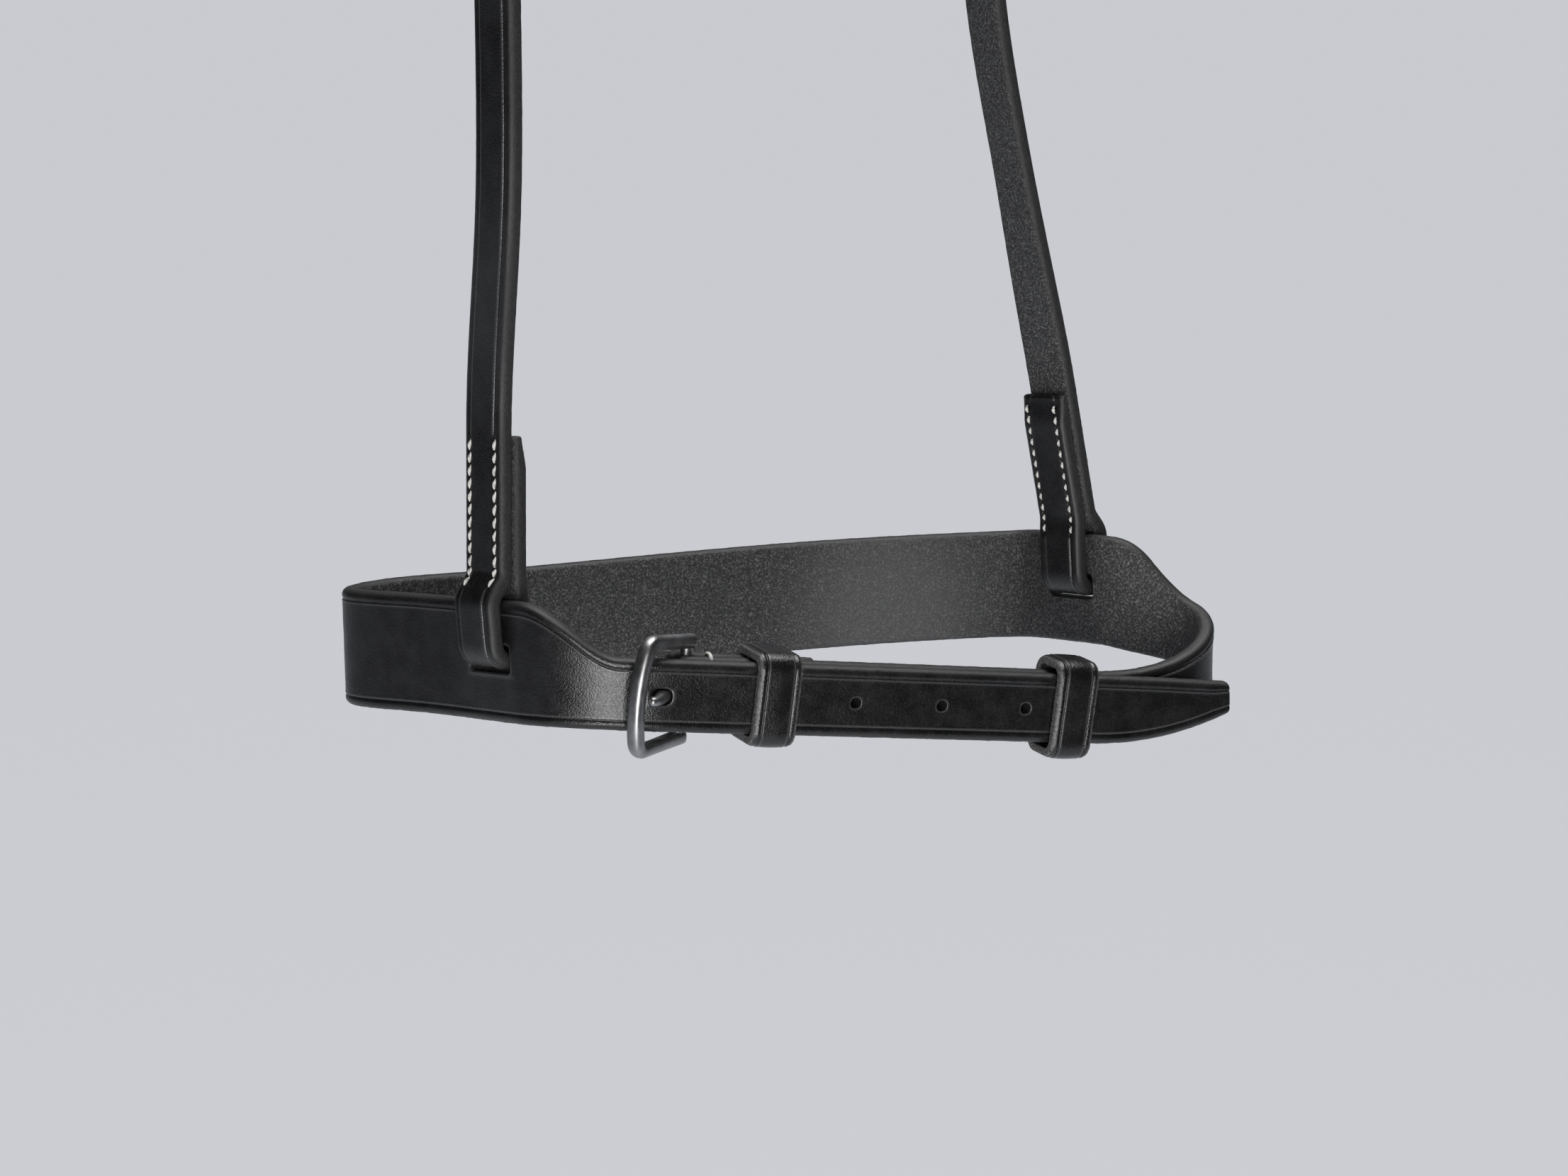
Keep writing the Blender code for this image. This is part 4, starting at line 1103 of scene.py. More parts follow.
def keeper_line(place, station, strap_width, back_depth, slack):
    """Round all the layers, from the middle of the back to the middle of the back again."""
    middle = keeper_wall / 2 + keeper_gap
    front, back = -half_leather - middle, back_depth + middle
    high = strap_width / 2 + middle + slack
    corner = keeper_corner
    pieces = []
    turns = (
        (back - corner, high - corner, 1.0, 0.0),
        (front + corner, high - corner, 0.0, 1.0),
        (front + corner, corner - high, -1.0, 0.0),
        (back - corner, corner - high, 0.0, -1.0),
    )
    last = place.at(station, back, 0.0)
    for y, z, out_y, out_z in turns:
        centre = place.at(station, y, z)
        out = out_y * place.y + out_z * place.z
        way = -out_z * place.y + out_y * place.z
        start = centre + corner * out
        pieces.append(line_piece(last, start))
        bend = arc_piece(centre, out, way, corner, math.pi / 2)
        pieces.append(bend)
        last = bend[0][-1]
    pieces.append(line_piece(last, place.at(station, back, -keeper_closing)))
    points, ways, _ = join_pieces(pieces)
    return StrapLine(points, ways, np.broadcast_to(-place.x, points.shape))


def build_keeper(name, place, station, strap_width, back_depth, slack, look, body, seed):
    """A keeper's leather: a flat strip wrapped round a rectangle with round corners, crowned outside."""
    line = keeper_line(place, station, strap_width, back_depth, slack)

    def shape(runs):
        half = np.full(len(runs), keeper_width / 2)
        wall = np.full(len(runs), keeper_wall / 2)
        return half, -half, wall, -wall

    fine = [(0.0, line.length, keeper_step)]
    strap_piece(
        name + "_leather", line, shape, [], [], fine, look, body, [name], seed,
        (keeper_grain_corner, keeper_flesh_corner), keeper_end_round, keeper_crown,
    )


# Threads


def stitch_rings(starts, ends, outward, radius, rise):
    """Rings of one stitch each, from hole to hole: a two-ply thread.

    Its middle line rises as a power of the sine of its share and starts below the leather. Its radius
    swells as the root of that sine, and a cosine with two waves round it, turning along it, is the ply."""
    along_count, sides = 11, 10
    share = np.linspace(0.0, 1.0, along_count)
    swell = np.sin(math.pi * share)
    angle = 2.0 * math.pi * np.arange(sides) / sides
    way = unit(ends - starts)
    side = np.cross(way, outward)
    lift = rise * swell**0.6 - stitch_sink * (1.0 - swell)
    middle = starts[:, None] + (ends - starts)[:, None] * share[None, :, None]
    middle = middle + lift[None, :, None] * outward[:, None]
    ply = 1.0 + 0.16 * np.cos(2.0 * (angle[None, :] - 5.0 * share[:, None]))
    size = (radius * (0.45 + 0.55 * swell**0.5)[:, None] * ply)[None, :, :, None]
    beside = np.cos(angle)[:, None] * side[:, None, None] * 1.1
    above = np.sin(angle)[:, None] * outward[:, None, None]
    return middle[:, :, None] + size * (beside + above)


def build_stitches(name, look, body, nodes, starts, ends, outward, radius, rise=stitch_rise):
    """Many stitches in one piece. Their ends go into the leather, where each is closed by a point."""
    rings = stitch_rings(starts, ends, outward, radius, rise)
    count, along_count, sides = rings.shape[:3]
    each = along_count * sides + 2
    caps = np.stack([rings[:, 0].mean(axis=1), rings[:, -1].mean(axis=1)], axis=1)
    vertices = np.concatenate([rings.reshape(count, -1, 3), caps], axis=1)
    one = grid_quads(along_count, sides).reshape(-1, 4)
    first = np.arange(sides)
    tips = np.concatenate([
        fan(first, along_count * sides),
        fan((along_count - 1) * sides + first, along_count * sides + 1, True),
    ])
    shift = (np.arange(count) * each)[:, None, None]
    faces = [(one + shift).reshape(-1, 4), (tips + shift).reshape(-1, 3)]
    return make_piece(name, vertices, faces, look, body, nodes)


def seam_row(line, start, end, across, reach, slant):
    """Stitches of a row laid on a strap: each one's start, its end, and the way out of the leather.

    The awl holes are a pitch apart, and each stitch covers reach of it, slanted across the row."""
    count = round((end - start) / stitch_pitch)
    pitch = (end - start) / count
    at = start + pitch * np.arange(count)
    level = half_leather - stitch_level
    lead, tail = (1.0 - reach) / 2, (1.0 + reach) / 2
    starts = line.place(at + lead * pitch, across - slant, level)
    ends = line.place(at + tail * pitch, across + slant, level)
    middle = at + pitch / 2
    outward = line.place(middle, across, level + MM) - line.place(middle, across, level)
    return starts, ends, unit(outward)


def over_edge(place, across):
    """The stitch that starts a fold's seam, over the upper edge of both layers beside the buckle."""
    start = place.at(edge_stitch_at, half_leather + fit_gap, across)
    end = place.at(edge_stitch_at + edge_stitch_slant, tail_depth + half_leather, across)
    return start[None], end[None], place.z[None]


def build_seams(name, labels, line, seams, strap_width, look, body, row):
    """Both rows of a sewn fold or loop, on its face and on the tail behind it."""
    reach, slant, radius = row
    for label, sign in zip(labels, (1.0, -1.0)):
        node = f"{name}_{label}"
        across = sign * (strap_width / 2 - seam_inset)
        rows = [seam_row(line, start, end, across, reach, slant) for start, end in seams]
        starts, ends, outward = (np.concatenate([part[k] for part in rows]) for k in range(3))
        build_stitches(node + "_thread", look, body, [node], starts, ends, outward, radius)


def build_keeper_stitch(name, place, station, back_depth, look, body):
    """The zigzag that closes a keeper's butted ends behind."""
    depth = back_depth + keeper_gap + keeper_wall
    across = keeper_width / 2 - seam_inset
    share = np.linspace(-1.0, 1.0, closing_turns)
    heights = np.where(np.arange(closing_turns) % 2 == 0, -1.0, 1.0) * stitch_pitch / 2
    knots = np.stack([station + across * share, np.full(closing_turns, depth), heights], axis=1)
    points = place.spread(knots)
    starts, ends = points[:-1], points[1:]
    outward = np.tile(place.y, (closing_turns - 1, 1))
    build_stitches(name + "_thread", look, body, [name], starts, ends, outward, thread_radius, closing_rise)


# Steel


def tube(points, ways, flat, half_wide, half_high, power, sides):
    """Rings of a bar whose section is a superellipse: half_high along flat, half_wide across it."""
    angle = 2.0 * math.pi * np.arange(sides) / sides
    c, s = np.cos(angle), np.sin(angle)
    wide = np.sign(c) * np.abs(c) ** (2.0 / power)
    high = np.sign(s) * np.abs(s) ** (2.0 / power)
    across = np.cross(ways, flat)
    return (
        points[:, None]
        + half_wide[:, None, None] * wide[None, :, None] * across[:, None]
        + half_high[:, None, None] * high[None, :, None] * flat[:, None]
    )


def round_ends(rings, reach):
    """Adds shrinking rings and a closing point past both ends of a tube, for a rounded end."""
    first, last = rings[0].mean(axis=0), rings[-1].mean(axis=0)
    first_way = unit(first - rings[1].mean(axis=0))
    last_way = unit(last - rings[-2].mean(axis=0))
    angle = np.radians([35.0, 60.0, 78.0])[:, None, None]
    before = first + np.cos(angle) * (rings[0] - first) + reach * np.sin(angle) * first_way
    after = last + np.cos(angle) * (rings[-1] - last) + reach * np.sin(angle) * last_way
    whole = np.concatenate([before[::-1], rings, after])
    tips = np.stack([first + reach * first_way, last + reach * last_way])
    return whole, tips


def tube_faces(rows, sides, first=0):
    """Faces of a tube whose rings are followed by its two closing points."""
    total = rows * sides
    here = first + np.arange(sides)
    return [
        grid_quads(rows, sides, first).reshape(-1, 4),
        fan(here, first + total),
        fan(here + (rows - 1) * sides, first + total + 1, True),
    ]


def frame_line(strap_width):
    """Half of the frame's middle line, in its own plane: side bar, corner, and bowed front.

    The side bar widens by the frame's taper, the corner is an arc, and the front is an arc of a wide
    circle whose middle stands out by the bow."""
    front = np.array([-frame_front - bar_past_hole, -frame_depth - bar_depth])
    reach = np.linalg.norm(front)
    half_high = strap_width / 2 + frame_side_gap + frame_radius
    half_bar = half_high - frame_taper
    bow = 2.0 * math.atan2(frame_bow, half_high - frame_corner)
    slope = math.atan2(frame_taper, reach)
    corner_from = reach - frame_corner * (math.sin(slope) + math.cos(bow))
    high = half_bar + math.tan(slope) * (corner_from + frame_radius)
    out = np.array([-math.sin(slope), math.cos(slope), 0.0])
    way = np.array([math.cos(slope), math.sin(slope), 0.0])
    start, end = np.array([-frame_radius, half_bar, 0.0]), np.array([corner_from, high, 0.0])
    corner = arc_piece(end - frame_corner * out, out, way, frame_corner, math.pi / 2 + slope - bow)
    last = corner[0][-1]
    bow_radius = last[1] / math.sin(bow)
    centre = np.array([last[0] - bow_radius * math.cos(bow), 0.0, 0.0])
    out = np.array([math.cos(bow), math.sin(bow), 0.0])
    way = np.array([math.sin(bow), -math.cos(bow), 0.0])
    bowed = arc_piece(centre, out, way, bow_radius, bow)
    points, ways, _ = join_pieces([line_piece(start, end), corner, bowed])
    return points, ways, front / reach, half_high, half_bar


def build_buckle_frame(name, place, strap_width, look, body):
    """A bowed front, corners turned down to two side bars, and the bar that the strap folds over."""
    half_points, half_ways, along, half_high, half_bar = frame_line(strap_width)
    mirror = np.array([1.0, -1.0, 1.0])
    points = np.concatenate([half_points, (half_points * mirror)[-2::-1]])
    ways = np.concatenate([half_ways, -(half_ways * mirror)[-2::-1]])
    height = points[:, 1]
    lead = along[0] * place.x + along[1] * place.y
    square = along[1] * place.x - along[0] * place.y
    axes = np.stack([lead, place.z, square])
    points, ways = place.at(bar_past_hole, bar_depth) + points @ axes, ways @ axes
    flat = np.broadcast_to(-square, points.shape)
    share = smoothstep((1.0 - np.abs(height) / half_high) * 5.0)
    radii = frame_radius * (frame_side_fullness + (1.0 - frame_side_fullness) * share)
    rings = tube(points, ways, flat, radii, radii, 2.5, frame_sides)
    whole, tips = round_ends(rings, frame_radius * 0.5)
    bar_ends = [place.at(bar_past_hole, bar_depth, sign * half_bar) for sign in (-1.0, 1.0)]
    bar_points, bar_ways = line_piece(*bar_ends)
    bar_flat = np.broadcast_to(place.y, bar_points.shape)
    size = np.full(len(bar_points), bar_radius)
    bar = tube(bar_points, bar_ways, bar_flat, size, size, 2.0, bar_sides)
    bar_whole, bar_tips = round_ends(bar, bar_end_round)
    vertices = np.concatenate([whole.reshape(-1, 3), tips, bar_whole.reshape(-1, 3), bar_tips])
    frame_count = len(whole) * frame_sides + 2
    faces = tube_faces(len(whole), frame_sides) + tube_faces(len(bar_whole), bar_sides, frame_count)
    make_piece(name + "_steel", vertices, faces, look, body, [name])


def build_prong(name, place, look, body):
    """A prong of flattened rod: round at its tip, thickest past the hole, curled round the bar.

    The curl is an arc, and a smooth cubic leads off it through the hole to the frame's front. The rod
    narrows by smooth steps, and swells as the square of a sine."""
    curl = bar_radius + running_gap + eye_wall / 2
    touch = curl * np.array([math.cos(curl_from), math.sin(curl_from), 0.0])
    into = np.array([math.sin(curl_from), -math.cos(curl_from), 0.0])
    line_knots = [touch, *prong_line()[1:]]
    body_points, body_ways = spline_piece(line_knots, into, unit(np.array([-1.0, -0.25, 0.0])))
    angle = np.linspace(curl_from + curl_turn, curl_from, curl_count)
    curl_points = curl * np.stack([np.cos(angle), np.sin(angle), 0.0 * angle], axis=1)
    curl_ways = np.stack([np.sin(angle), -np.cos(angle), 0.0 * angle], axis=1)
    points = np.concatenate([curl_points[:-1], body_points])
    ways = np.concatenate([curl_ways[:-1], body_ways])
    run = np.linspace(0.0, 1.0, len(body_points))
    body_wide = eye_half_width - prong_narrowing * run
    body_wide -= prong_tip_narrowing * smoothstep(run * 2.2 - 1.2)
    wide = np.concatenate([np.full(curl_count - 1, eye_half_width), body_wide])
    body_high = prong_radius + (prong_tip_radius - prong_radius) * smoothstep(run * 1.5 - 0.5)
    body_high += prong_swell * np.sin(math.pi * np.clip(run * 1.25 - 0.1, 0.0, 1.0)) ** 2
    grown = eye_wall / 2 + (body_high - eye_wall / 2) * smoothstep(run * 4.0)
    high = np.concatenate([np.full(curl_count - 1, eye_wall / 2), grown])
    frame_axes = np.stack([place.x, place.y, place.z])
    origin = place.at(bar_past_hole, bar_depth)
    points, ways = origin + points @ frame_axes, ways @ frame_axes
    across = np.broadcast_to(place.z, points.shape)
    rings = tube(points, ways, across, high, wide, 2.3, prong_sides)
    whole, tips = round_ends(rings, prong_tip_radius * 0.6)
    vertices = np.concatenate([whole.reshape(-1, 3), tips])
    faces = tube_faces(len(whole), prong_sides)
    make_piece(name + "_steel", vertices, faces, look, body, [name])


# Materials


class Tree:
    """A node tree being put together: each method adds a node and hands back its output."""

    def __init__(self, nodes):
        self.nodes = nodes.nodes
        self.links = nodes.links

    def add(self, kind, inputs, output=0, **settings):
        """A node of a kind, with its settings, whose inputs are values or other nodes' outputs."""
        node = self.nodes.new("ShaderNode" + kind)
        for label, value in settings.items():
            setattr(node, label, value)
        for label, value in inputs.items():
            if isinstance(value, bpy.types.NodeSocket):
                self.links.new(value, node.inputs[label])
            else:
                node.inputs[label].default_value = value
        return node.outputs[output]

    def calc(self, operation, first, second=0.0):
        """Arithmetic on one or two values."""
        return self.add("Math", {0: first, 1: second}, operation=operation)

    def blend(self, share, first, second):
        """A colour between two, by a share."""
        return self.add("Mix", {0: share, 6: first, 7: second}, 2, data_type="RGBA")

    def lerp(self, share, first, second):
        """A value between two, by a share."""
        return self.add("Mix", {0: share, 2: first, 3: second}, data_type="FLOAT")

    def step(self, value, low, high, first=0.0, last=1.0):
        """A smooth step from first to last as a value goes from low to high."""
        limits = {"Value": value, "From Min": low, "From Max": high, "To Min": first, "To Max": last}
        return self.add("MapRange", limits, interpolation_type="SMOOTHSTEP")

    def noise(self, vector, scale, detail=3.0, roughness=0.5):
        """Cloudy noise, in waves per metre."""
        settings = {"Vector": vector, "Scale": scale, "Detail": detail, "Roughness": roughness}
        return self.add("TexNoise", settings)

    def place(self, stretch=(1.0, 1.0, 1.0)):
        """The object's own coordinates in metres, stretched."""
        point = self.add("TexCoord", {}, "Object")
        return self.add("VectorMath", {0: point, 1: stretch}, operation="MULTIPLY")

    def own(self, label):
        """A value kept at the piece's vertices."""
        return self.add("Attribute", {}, "Fac", attribute_name=label)


def surface_group(name, outputs, inputs=()):
    """An empty node group with its sockets, its tree and the node that takes its results."""
    group = bpy.data.node_groups.new(name, "ShaderNodeTree")
    for label, kind in inputs:
        group.interface.new_socket(name=label, in_out="INPUT", socket_type=kind)
    for label, kind in outputs:
        group.interface.new_socket(name=label, in_out="OUTPUT", socket_type=kind)
    return group, Tree(group), group.nodes.new("NodeGroupOutput")


def leather_surface():
    """Bridle leather: pebbled black grain, speckled fibrous flesh side with a patch of painted sheen, cut
    edges, and burnished creases painted paler as a highlight.

    The height is in millimetres: shallow pebbles of a third of a millimetre, and coarser fibres."""
    color, number = "NodeSocketColor", "NodeSocketFloat"
    outputs = (("Color", color), ("Roughness", number), ("Coat", number), ("Height", number))
    group, tree, result = surface_group("bridle_leather_surface", outputs, (("Cut Edge", color),))
    given = group.nodes.new("NodeGroupInput")
    edge, flesh, rubbed_and_highlight = tree.own("edge"), tree.own("flesh"), tree.own("rubbed_and_highlight")
    place = tree.place()
    pebbles = {"Vector": place, "Scale": 2500.0, "Smoothness": 0.6}
    pebble = tree.add("TexVoronoi", pebbles, feature="SMOOTH_F1")
    fine = tree.noise(place, 1500.0, 4.0, 0.6)
    cloud = tree.noise(place, 160.0, 4.0, 0.65)
    fibre = tree.noise(place, 1750.0, 5.0, 0.8)
    nap = tree.noise(place, 420.0, 4.0, 0.65)
    from_painted_sheen = tree.add("VectorMath", {0: place, 1: painted_sheen_centre}, "Value", operation="DISTANCE")

    worn = tree.calc("MULTIPLY", tree.step(fine, 0.5, 0.75), tree.step(cloud, 0.45, 0.7))
    darkest, dark = (0.0035, 0.0035, 0.0038, 1.0), (0.0075, 0.0075, 0.0078, 1.0)
    grain = tree.blend(tree.step(cloud, 0.3, 0.7), darkest, dark)
    grain = tree.blend(tree.calc("MULTIPLY", worn, 0.4), grain, (0.022, 0.022, 0.0225, 1.0))
    # Paler grey painted along crease burrs and opening lips: a painted highlight of their glint, besides the
    # real polish that lowers roughness below
    grain = tree.blend(tree.calc("MULTIPLY", rubbed_and_highlight, 0.6), grain, (0.065, 0.065, 0.0655, 1.0))
    speck = tree.step(fibre, 0.46, 0.70)
    hide = tree.blend(speck, (0.011, 0.011, 0.0112, 1.0), (0.230, 0.228, 0.226, 1.0))
    hide = tree.blend(tree.step(nap, 0.35, 0.7, 0.35, 0.0), hide, (0.020, 0.020, 0.020, 1.0))
    # A paler patch round that centre of the flesh side: a painted sheen
    hide = tree.blend(tree.step(from_painted_sheen, 0.008, 0.045, 0.40, 0.0), hide, (0.150, 0.149, 0.148, 1.0))
    rim = tree.blend(tree.step(fibre, 0.35, 0.65), (0.007, 0.007, 0.007, 1.0), given.outputs["Cut Edge"])
    whole = tree.blend(flesh, grain, hide)
    whole = tree.blend(edge, whole, rim)

    satin = tree.step(fine, 0.3, 0.7, 0.24, 0.32)
    satin = tree.calc("ADD", satin, tree.step(cloud, 0.3, 0.7, -0.02, 0.04))
    satin = tree.calc("SUBTRACT", satin, tree.calc("MULTIPLY", rubbed_and_highlight, 0.10))
    rough = tree.lerp(flesh, satin, 0.56)
    rough = tree.lerp(tree.calc("MULTIPLY", edge, 0.8), rough, 0.55)
    off_flesh, off_edge = tree.calc("SUBTRACT", 1.0, flesh), tree.calc("SUBTRACT", 1.0, edge)
    smooth_side = tree.calc("MULTIPLY", off_flesh, off_edge)

    pebble_height = tree.step(pebble, 0.0, 0.8, 0.040, 0.0)
    grain_height = tree.calc("ADD", pebble_height, tree.step(fine, 0.2, 0.8, 0.0, 0.030))
    fibre_height = tree.step(fibre, 0.2, 0.8, 0.0, 0.10)
    hide_height = tree.calc("ADD", fibre_height, tree.step(nap, 0.2, 0.8, 0.0, 0.09))
    edge_height = tree.step(fibre, 0.2, 0.8, 0.0, 0.05)
    height = tree.lerp(flesh, grain_height, hide_height)
    height = tree.lerp(edge, height, edge_height)
    for label, value in (
        ("Color", whole),
        ("Roughness", rough),
        ("Coat", tree.calc("MULTIPLY", smooth_side, tree.step(cloud, 0.3, 0.7, 0.06, 0.15))),
        ("Height", height),
    ):
        group.links.new(value, result.inputs[label])
    return group


def steel_surface():
    """Satin stainless steel: fine scratches along two directions over a cloudy polish. Height in mm."""
    color, number = "NodeSocketColor", "NodeSocketFloat"
    outputs = (("Color", color), ("Roughness", number), ("Height", number))
    group, tree, result = surface_group("satin_steel_surface", outputs)
    along = tree.noise(tree.place((1.0, 1.0, 0.06)), 5200.0, 3.0, 0.6)
    over = tree.noise(tree.place((0.06, 1.0, 1.0)), 4300.0, 3.0, 0.6)
    cloud = tree.noise(tree.place(), 260.0, 4.0, 0.6)
    line = tree.calc("MAXIMUM", tree.step(along, 0.55, 0.75), tree.step(over, 0.58, 0.78))
    tone = tree.blend(tree.step(cloud, 0.3, 0.7), (0.24, 0.24, 0.243, 1.0), (0.34, 0.34, 0.344, 1.0))
    tone = tree.blend(tree.calc("MULTIPLY", line, 0.3), tone, (0.18, 0.18, 0.183, 1.0))
    rough = tree.calc("ADD", tree.step(cloud, 0.3, 0.7, 0.34, 0.43), tree.calc("MULTIPLY", line, 0.08))
    height = tree.calc("MULTIPLY", tree.calc("ADD", line, tree.step(cloud, 0.2, 0.8, 0.0, 0.6)), -0.004)
    for label, value in (("Color", tone), ("Roughness", rough), ("Height", height)):
        group.links.new(value, result.inputs[label])
    return group


def thread_surface():
    """Waxed linen thread: a fine twist, fuzzy fibres, and black dye from the leather in its hollows."""
    color, number = "NodeSocketColor", "NodeSocketFloat"
    outputs = (("Color", color), ("Roughness", number), ("Height", number))
    group, tree, result = surface_group("waxed_thread_surface", outputs)
    place = tree.place()
    fibre = tree.noise(place, 4200.0, 4.0, 0.7)
    stain = tree.noise(place, 620.0, 3.0, 0.6)
    plies = {"Vector": place, "Scale": 620.0, "Distortion": 2.0, "Detail": 2.0}
    twist = tree.add("TexWave", plies, bands_direction="DIAGONAL")
    pale = tree.blend(tree.step(fibre, 0.3, 0.7), (0.42, 0.405, 0.375, 1.0), (0.68, 0.66, 0.62, 1.0))
    tone = tree.blend(tree.step(stain, 0.50, 0.74, 0.0, 0.65), pale, (0.10, 0.095, 0.09, 1.0))
    height = tree.calc("ADD", tree.calc("MULTIPLY", twist, 0.05), tree.step(fibre, 0.2, 0.8, 0.0, 0.05))
    rough = tree.step(fibre, 0.3, 0.7, 0.5, 0.75)
    for label, value in (("Color", tone), ("Roughness", rough), ("Height", height)):
        group.links.new(value, result.inputs[label])
    return group


def material_of(name, group, given=None, metallic=0.0, strength=1.0):
    """A material whose shader takes its colour, polish and relief from a surface group."""
    look = bpy.data.materials.new(name)
    look.use_nodes = True
    nodes, links = look.node_tree.nodes, look.node_tree.links
    shader = nodes["Principled BSDF"]
    surface = nodes.new("ShaderNodeGroup")
    surface.node_tree = group
    for label, value in (given or {}).items():
        surface.inputs[label].default_value = value
    links.new(surface.outputs["Color"], shader.inputs["Base Color"])
    links.new(surface.outputs["Roughness"], shader.inputs["Roughness"])
    if "Coat" in surface.outputs:
        links.new(surface.outputs["Coat"], shader.inputs["Coat Weight"])
        shader.inputs["Coat Roughness"].default_value = 0.22
        shader.inputs["Specular IOR Level"].default_value = 0.40
    bump = nodes.new("ShaderNodeBump")
    bump.inputs["Distance"].default_value = MM
    bump.inputs["Strength"].default_value = strength
    links.new(surface.outputs["Height"], bump.inputs["Height"])
    links.new(bump.outputs["Normal"], shader.inputs["Normal"])
    shader.inputs["Metallic"].default_value = metallic
    return look


# The studio


def background_share(tree):
    """Two shares: 1 for rays from the camera or through glass, and 1 for rays that come off polish."""
    rays = tree.nodes.new("ShaderNodeLightPath")
    seen = tree.calc("MAXIMUM", rays.outputs["Is Camera Ray"], rays.outputs["Is Transmission Ray"])
    return seen, rays.outputs["Is Glossy Ray"]


def backdrop_share(tree, way, forward):
    """How much of the backdrop's light a direction has: all of it straight ahead, nearly none aside."""
    ahead = tree.add("VectorMath", {0: way, 1: tuple(forward)}, "Value", operation="DOT_PRODUCT")
    return tree.step(ahead, room_from, room_to, room_light, room_peak)


def studio_world(forward):
    """Pale grey behind the object for rays that look that way, and a dim room behind the camera."""
    world = bpy.data.worlds.new("studio")
    bpy.context.scene.world = world
    world.use_nodes = True
    tree = Tree(world.node_tree)
    seen, glossy = background_share(tree)
    way = tree.add("TexCoord", {}, "Generated")
    level = tree.lerp(glossy, sky_light, backdrop_share(tree, way, forward))
    level = tree.lerp(seen, level, 1.0)
    shader = world.node_tree.nodes["Background"]
    shader.inputs["Color"].default_value = (*background, 1.0)
    world.node_tree.links.new(level, shader.inputs["Strength"])


def studio_floor(aim, forward):
    """A pale floor below and behind the object, of the background's own grey, that takes its shadow."""
    mesh = bpy.data.meshes.new("floor")
    left, right, front, rear, level = floor_sides
    corners = [(left, front, level), (right, front, level), (right, rear, level), (left, rear, level)]
    mesh.from_pydata(corners, [], [(0, 1, 2, 3)])
    floor = bpy.data.objects.new("floor", mesh)
    bpy.context.scene.collection.objects.link(floor)
    look = bpy.data.materials.new("floor")
    look.use_nodes = True
    tree = Tree(look.node_tree)
    seen, glossy = background_share(tree)
    lit = look.node_tree.nodes["Principled BSDF"]
    lit.inputs["Base Color"].default_value = (*background, 1.0)
    lit.inputs["Roughness"].default_value = 0.9
    glow = tree.add("Emission", {"Color": (*background, 1.0)})
    from_aim = tree.add("VectorMath", {0: tree.place(), 1: tuple(aim)}, operation="SUBTRACT")
    way = tree.add("VectorMath", {0: from_aim}, operation="NORMALIZE")
    mirrored = tree.calc("MULTIPLY", glossy, backdrop_share(tree, way, forward))
    share = tree.calc("MULTIPLY", tree.calc("MAXIMUM", seen, mirrored), floor_glow)
    mixed = tree.add("MixShader", {0: share, 1: lit.outputs[0], 2: glow})
    look.node_tree.links.new(mixed, look.node_tree.nodes["Material Output"].inputs["Surface"])
    mesh.materials.append(look)


def studio():
    """The camera, looking along its azimuth and down by its elevation, the backdrop, and two lamps."""
    scene = bpy.context.scene
    scene.view_settings.view_transform = "Standard"
    camera = bpy.data.cameras.new("camera")
    camera.sensor_width = film_width
    camera.lens = film_width * focal_pixels / image_width
    viewer = bpy.data.objects.new("camera", camera)
    scene.collection.objects.link(viewer)
    level = math.cos(camera_elevation)
    across = (-math.sin(camera_azimuth) * level, math.cos(camera_azimuth) * level)
    forward = Vector((*across, -math.sin(camera_elevation)))
    aim = Vector(camera_aim)
    viewer.location = aim - camera_distance * forward
    viewer.rotation_mode = "QUATERNION"
    viewer.rotation_quaternion = forward.to_track_quat("-Z", "Y")
    scene.camera = viewer

    studio_world(forward)
    studio_floor(aim, forward)
    for name, place, size, power in soft_lights:
        light = bpy.data.lights.new(name, "AREA")
        light.shape = "RECTANGLE"
        light.size, light.size_y = size
        light.energy = power
        lamp = bpy.data.objects.new(name, light)
        lamp.location = aim + Vector(place)
        lamp.rotation_mode = "QUATERNION"
        lamp.rotation_quaternion = (aim - lamp.location).to_track_quat("-Z", "Y")
        scene.collection.objects.link(lamp)


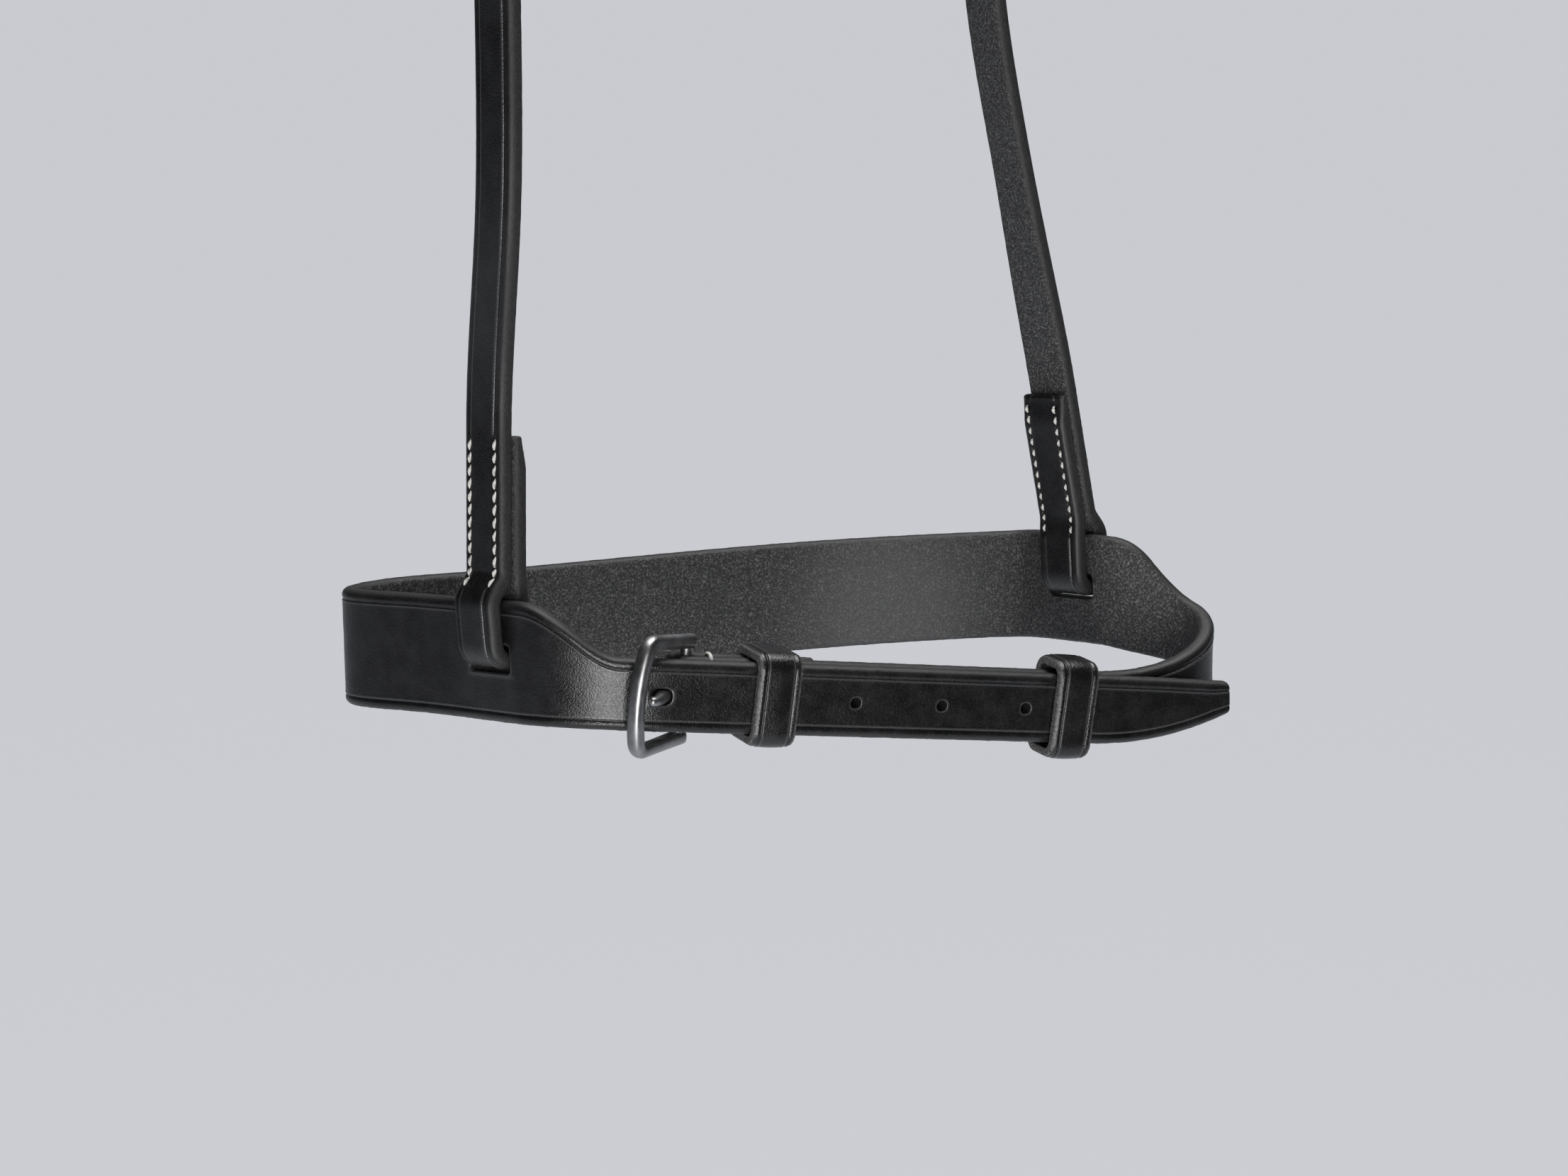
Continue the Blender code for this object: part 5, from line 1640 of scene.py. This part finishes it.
def build_fastening(name, place, width, carrier, fixed, runner, steel, keeper_leather_edge_highlight, thread):
    """A fastening's metal and keepers: frame, prong, a fixed keeper, and a runner that slides."""
    three_layers, two_layers = tail_depth + half_leather, layer_step + half_leather
    for label, station, depth, slack, body, seed in (
        ("fixed", fixed, three_layers, 0.0, carrier, 5.1),
        ("runner", runner, two_layers, runner_slack, f"{name}_runner", 6.3),
    ):
        keeper = f"{name}_{label}_keeper"
        build_keeper(keeper, place, station, width, depth, slack, keeper_leather_edge_highlight, body, seed)
        build_keeper_stitch(keeper + "_stitch", place, station, depth, thread, body)
    build_buckle_frame(f"{name}_buckle_frame", place, width, steel, f"{name}_buckle")
    build_prong(f"{name}_buckle_prong", place, steel, f"{name}_prong")


def build():
    """All pieces: the three straps, then their seams, then each fastening's steel and keepers."""
    leather_look = leather_surface()
    black = material_of("bridle_leather", leather_look, {"Cut Edge": (0.024, 0.0235, 0.023, 1.0)})
    # The keepers' cut edges are painted a pale grey, a painted highlight of their lit edges; the straps' cut
    # edges stay near black
    keeper_black_edge_highlight = material_of("keeper_leather_edge_highlight", leather_look, {"Cut Edge": (0.150, 0.146, 0.142, 1.0)})
    steel = material_of("satin_steel", steel_surface(), metallic=1.0)
    cream = material_of("waxed_thread", thread_surface())
    jaw, cheek = jaw_place(), cheek_place()
    near_strip = strip_place(near_slot_share, -1.0, near_band_yaw, near_band_pitch)
    off_strip = strip_place(off_slot_share, 1.0, off_band_yaw, off_band_pitch)
    band, band_folds = build_nosepiece(Nosepiece(jaw, near_strip, off_strip), jaw, black)
    near_strap, near_loops, cheek_folds = build_near_cheek(near_strip, cheek, black)
    off_strap, off_loops = build_sliphead(off_strip, near_strip, cheek, black)
    rows, folds = ("rear", "front"), ("upper", "lower")
    for name, labels, line, seams, width, body, row in (
        ("near_loop_seam", rows, near_strap, near_loops, cheek_width, "headstall", near_row),
        ("off_loop_seam", rows, off_strap, off_loops, cheek_width, "headstall", off_row),
        ("nose_fold_seam", folds, band, band_folds, billet_width, "noseband", fold_row),
        ("cheek_fold_seam", folds, near_strap, cheek_folds, cheek_width, "headstall", fold_row),
    ):
        build_seams(name, labels, line, seams, width, cream, body, row)
    for name, place, width, carrier, fixed, runner in (
        ("nose", jaw, billet_width, "noseband", nose_fixed_at, nose_runner_at),
        ("cheek", cheek, cheek_width, "headstall", cheek_fixed_at, cheek_runner_at),
    ):
        node = f"{name}_fold_seam_upper"
        ends = over_edge(place, width / 2 - end_stitch_inset)
        thick = thread_radius * 1.3
        build_stitches(node + "_end_thread", cream, carrier, [node], *ends, thick, end_stitch_rise)
        build_fastening(name, place, width, carrier, fixed, runner, steel, keeper_black_edge_highlight, cream)


build()
studio()
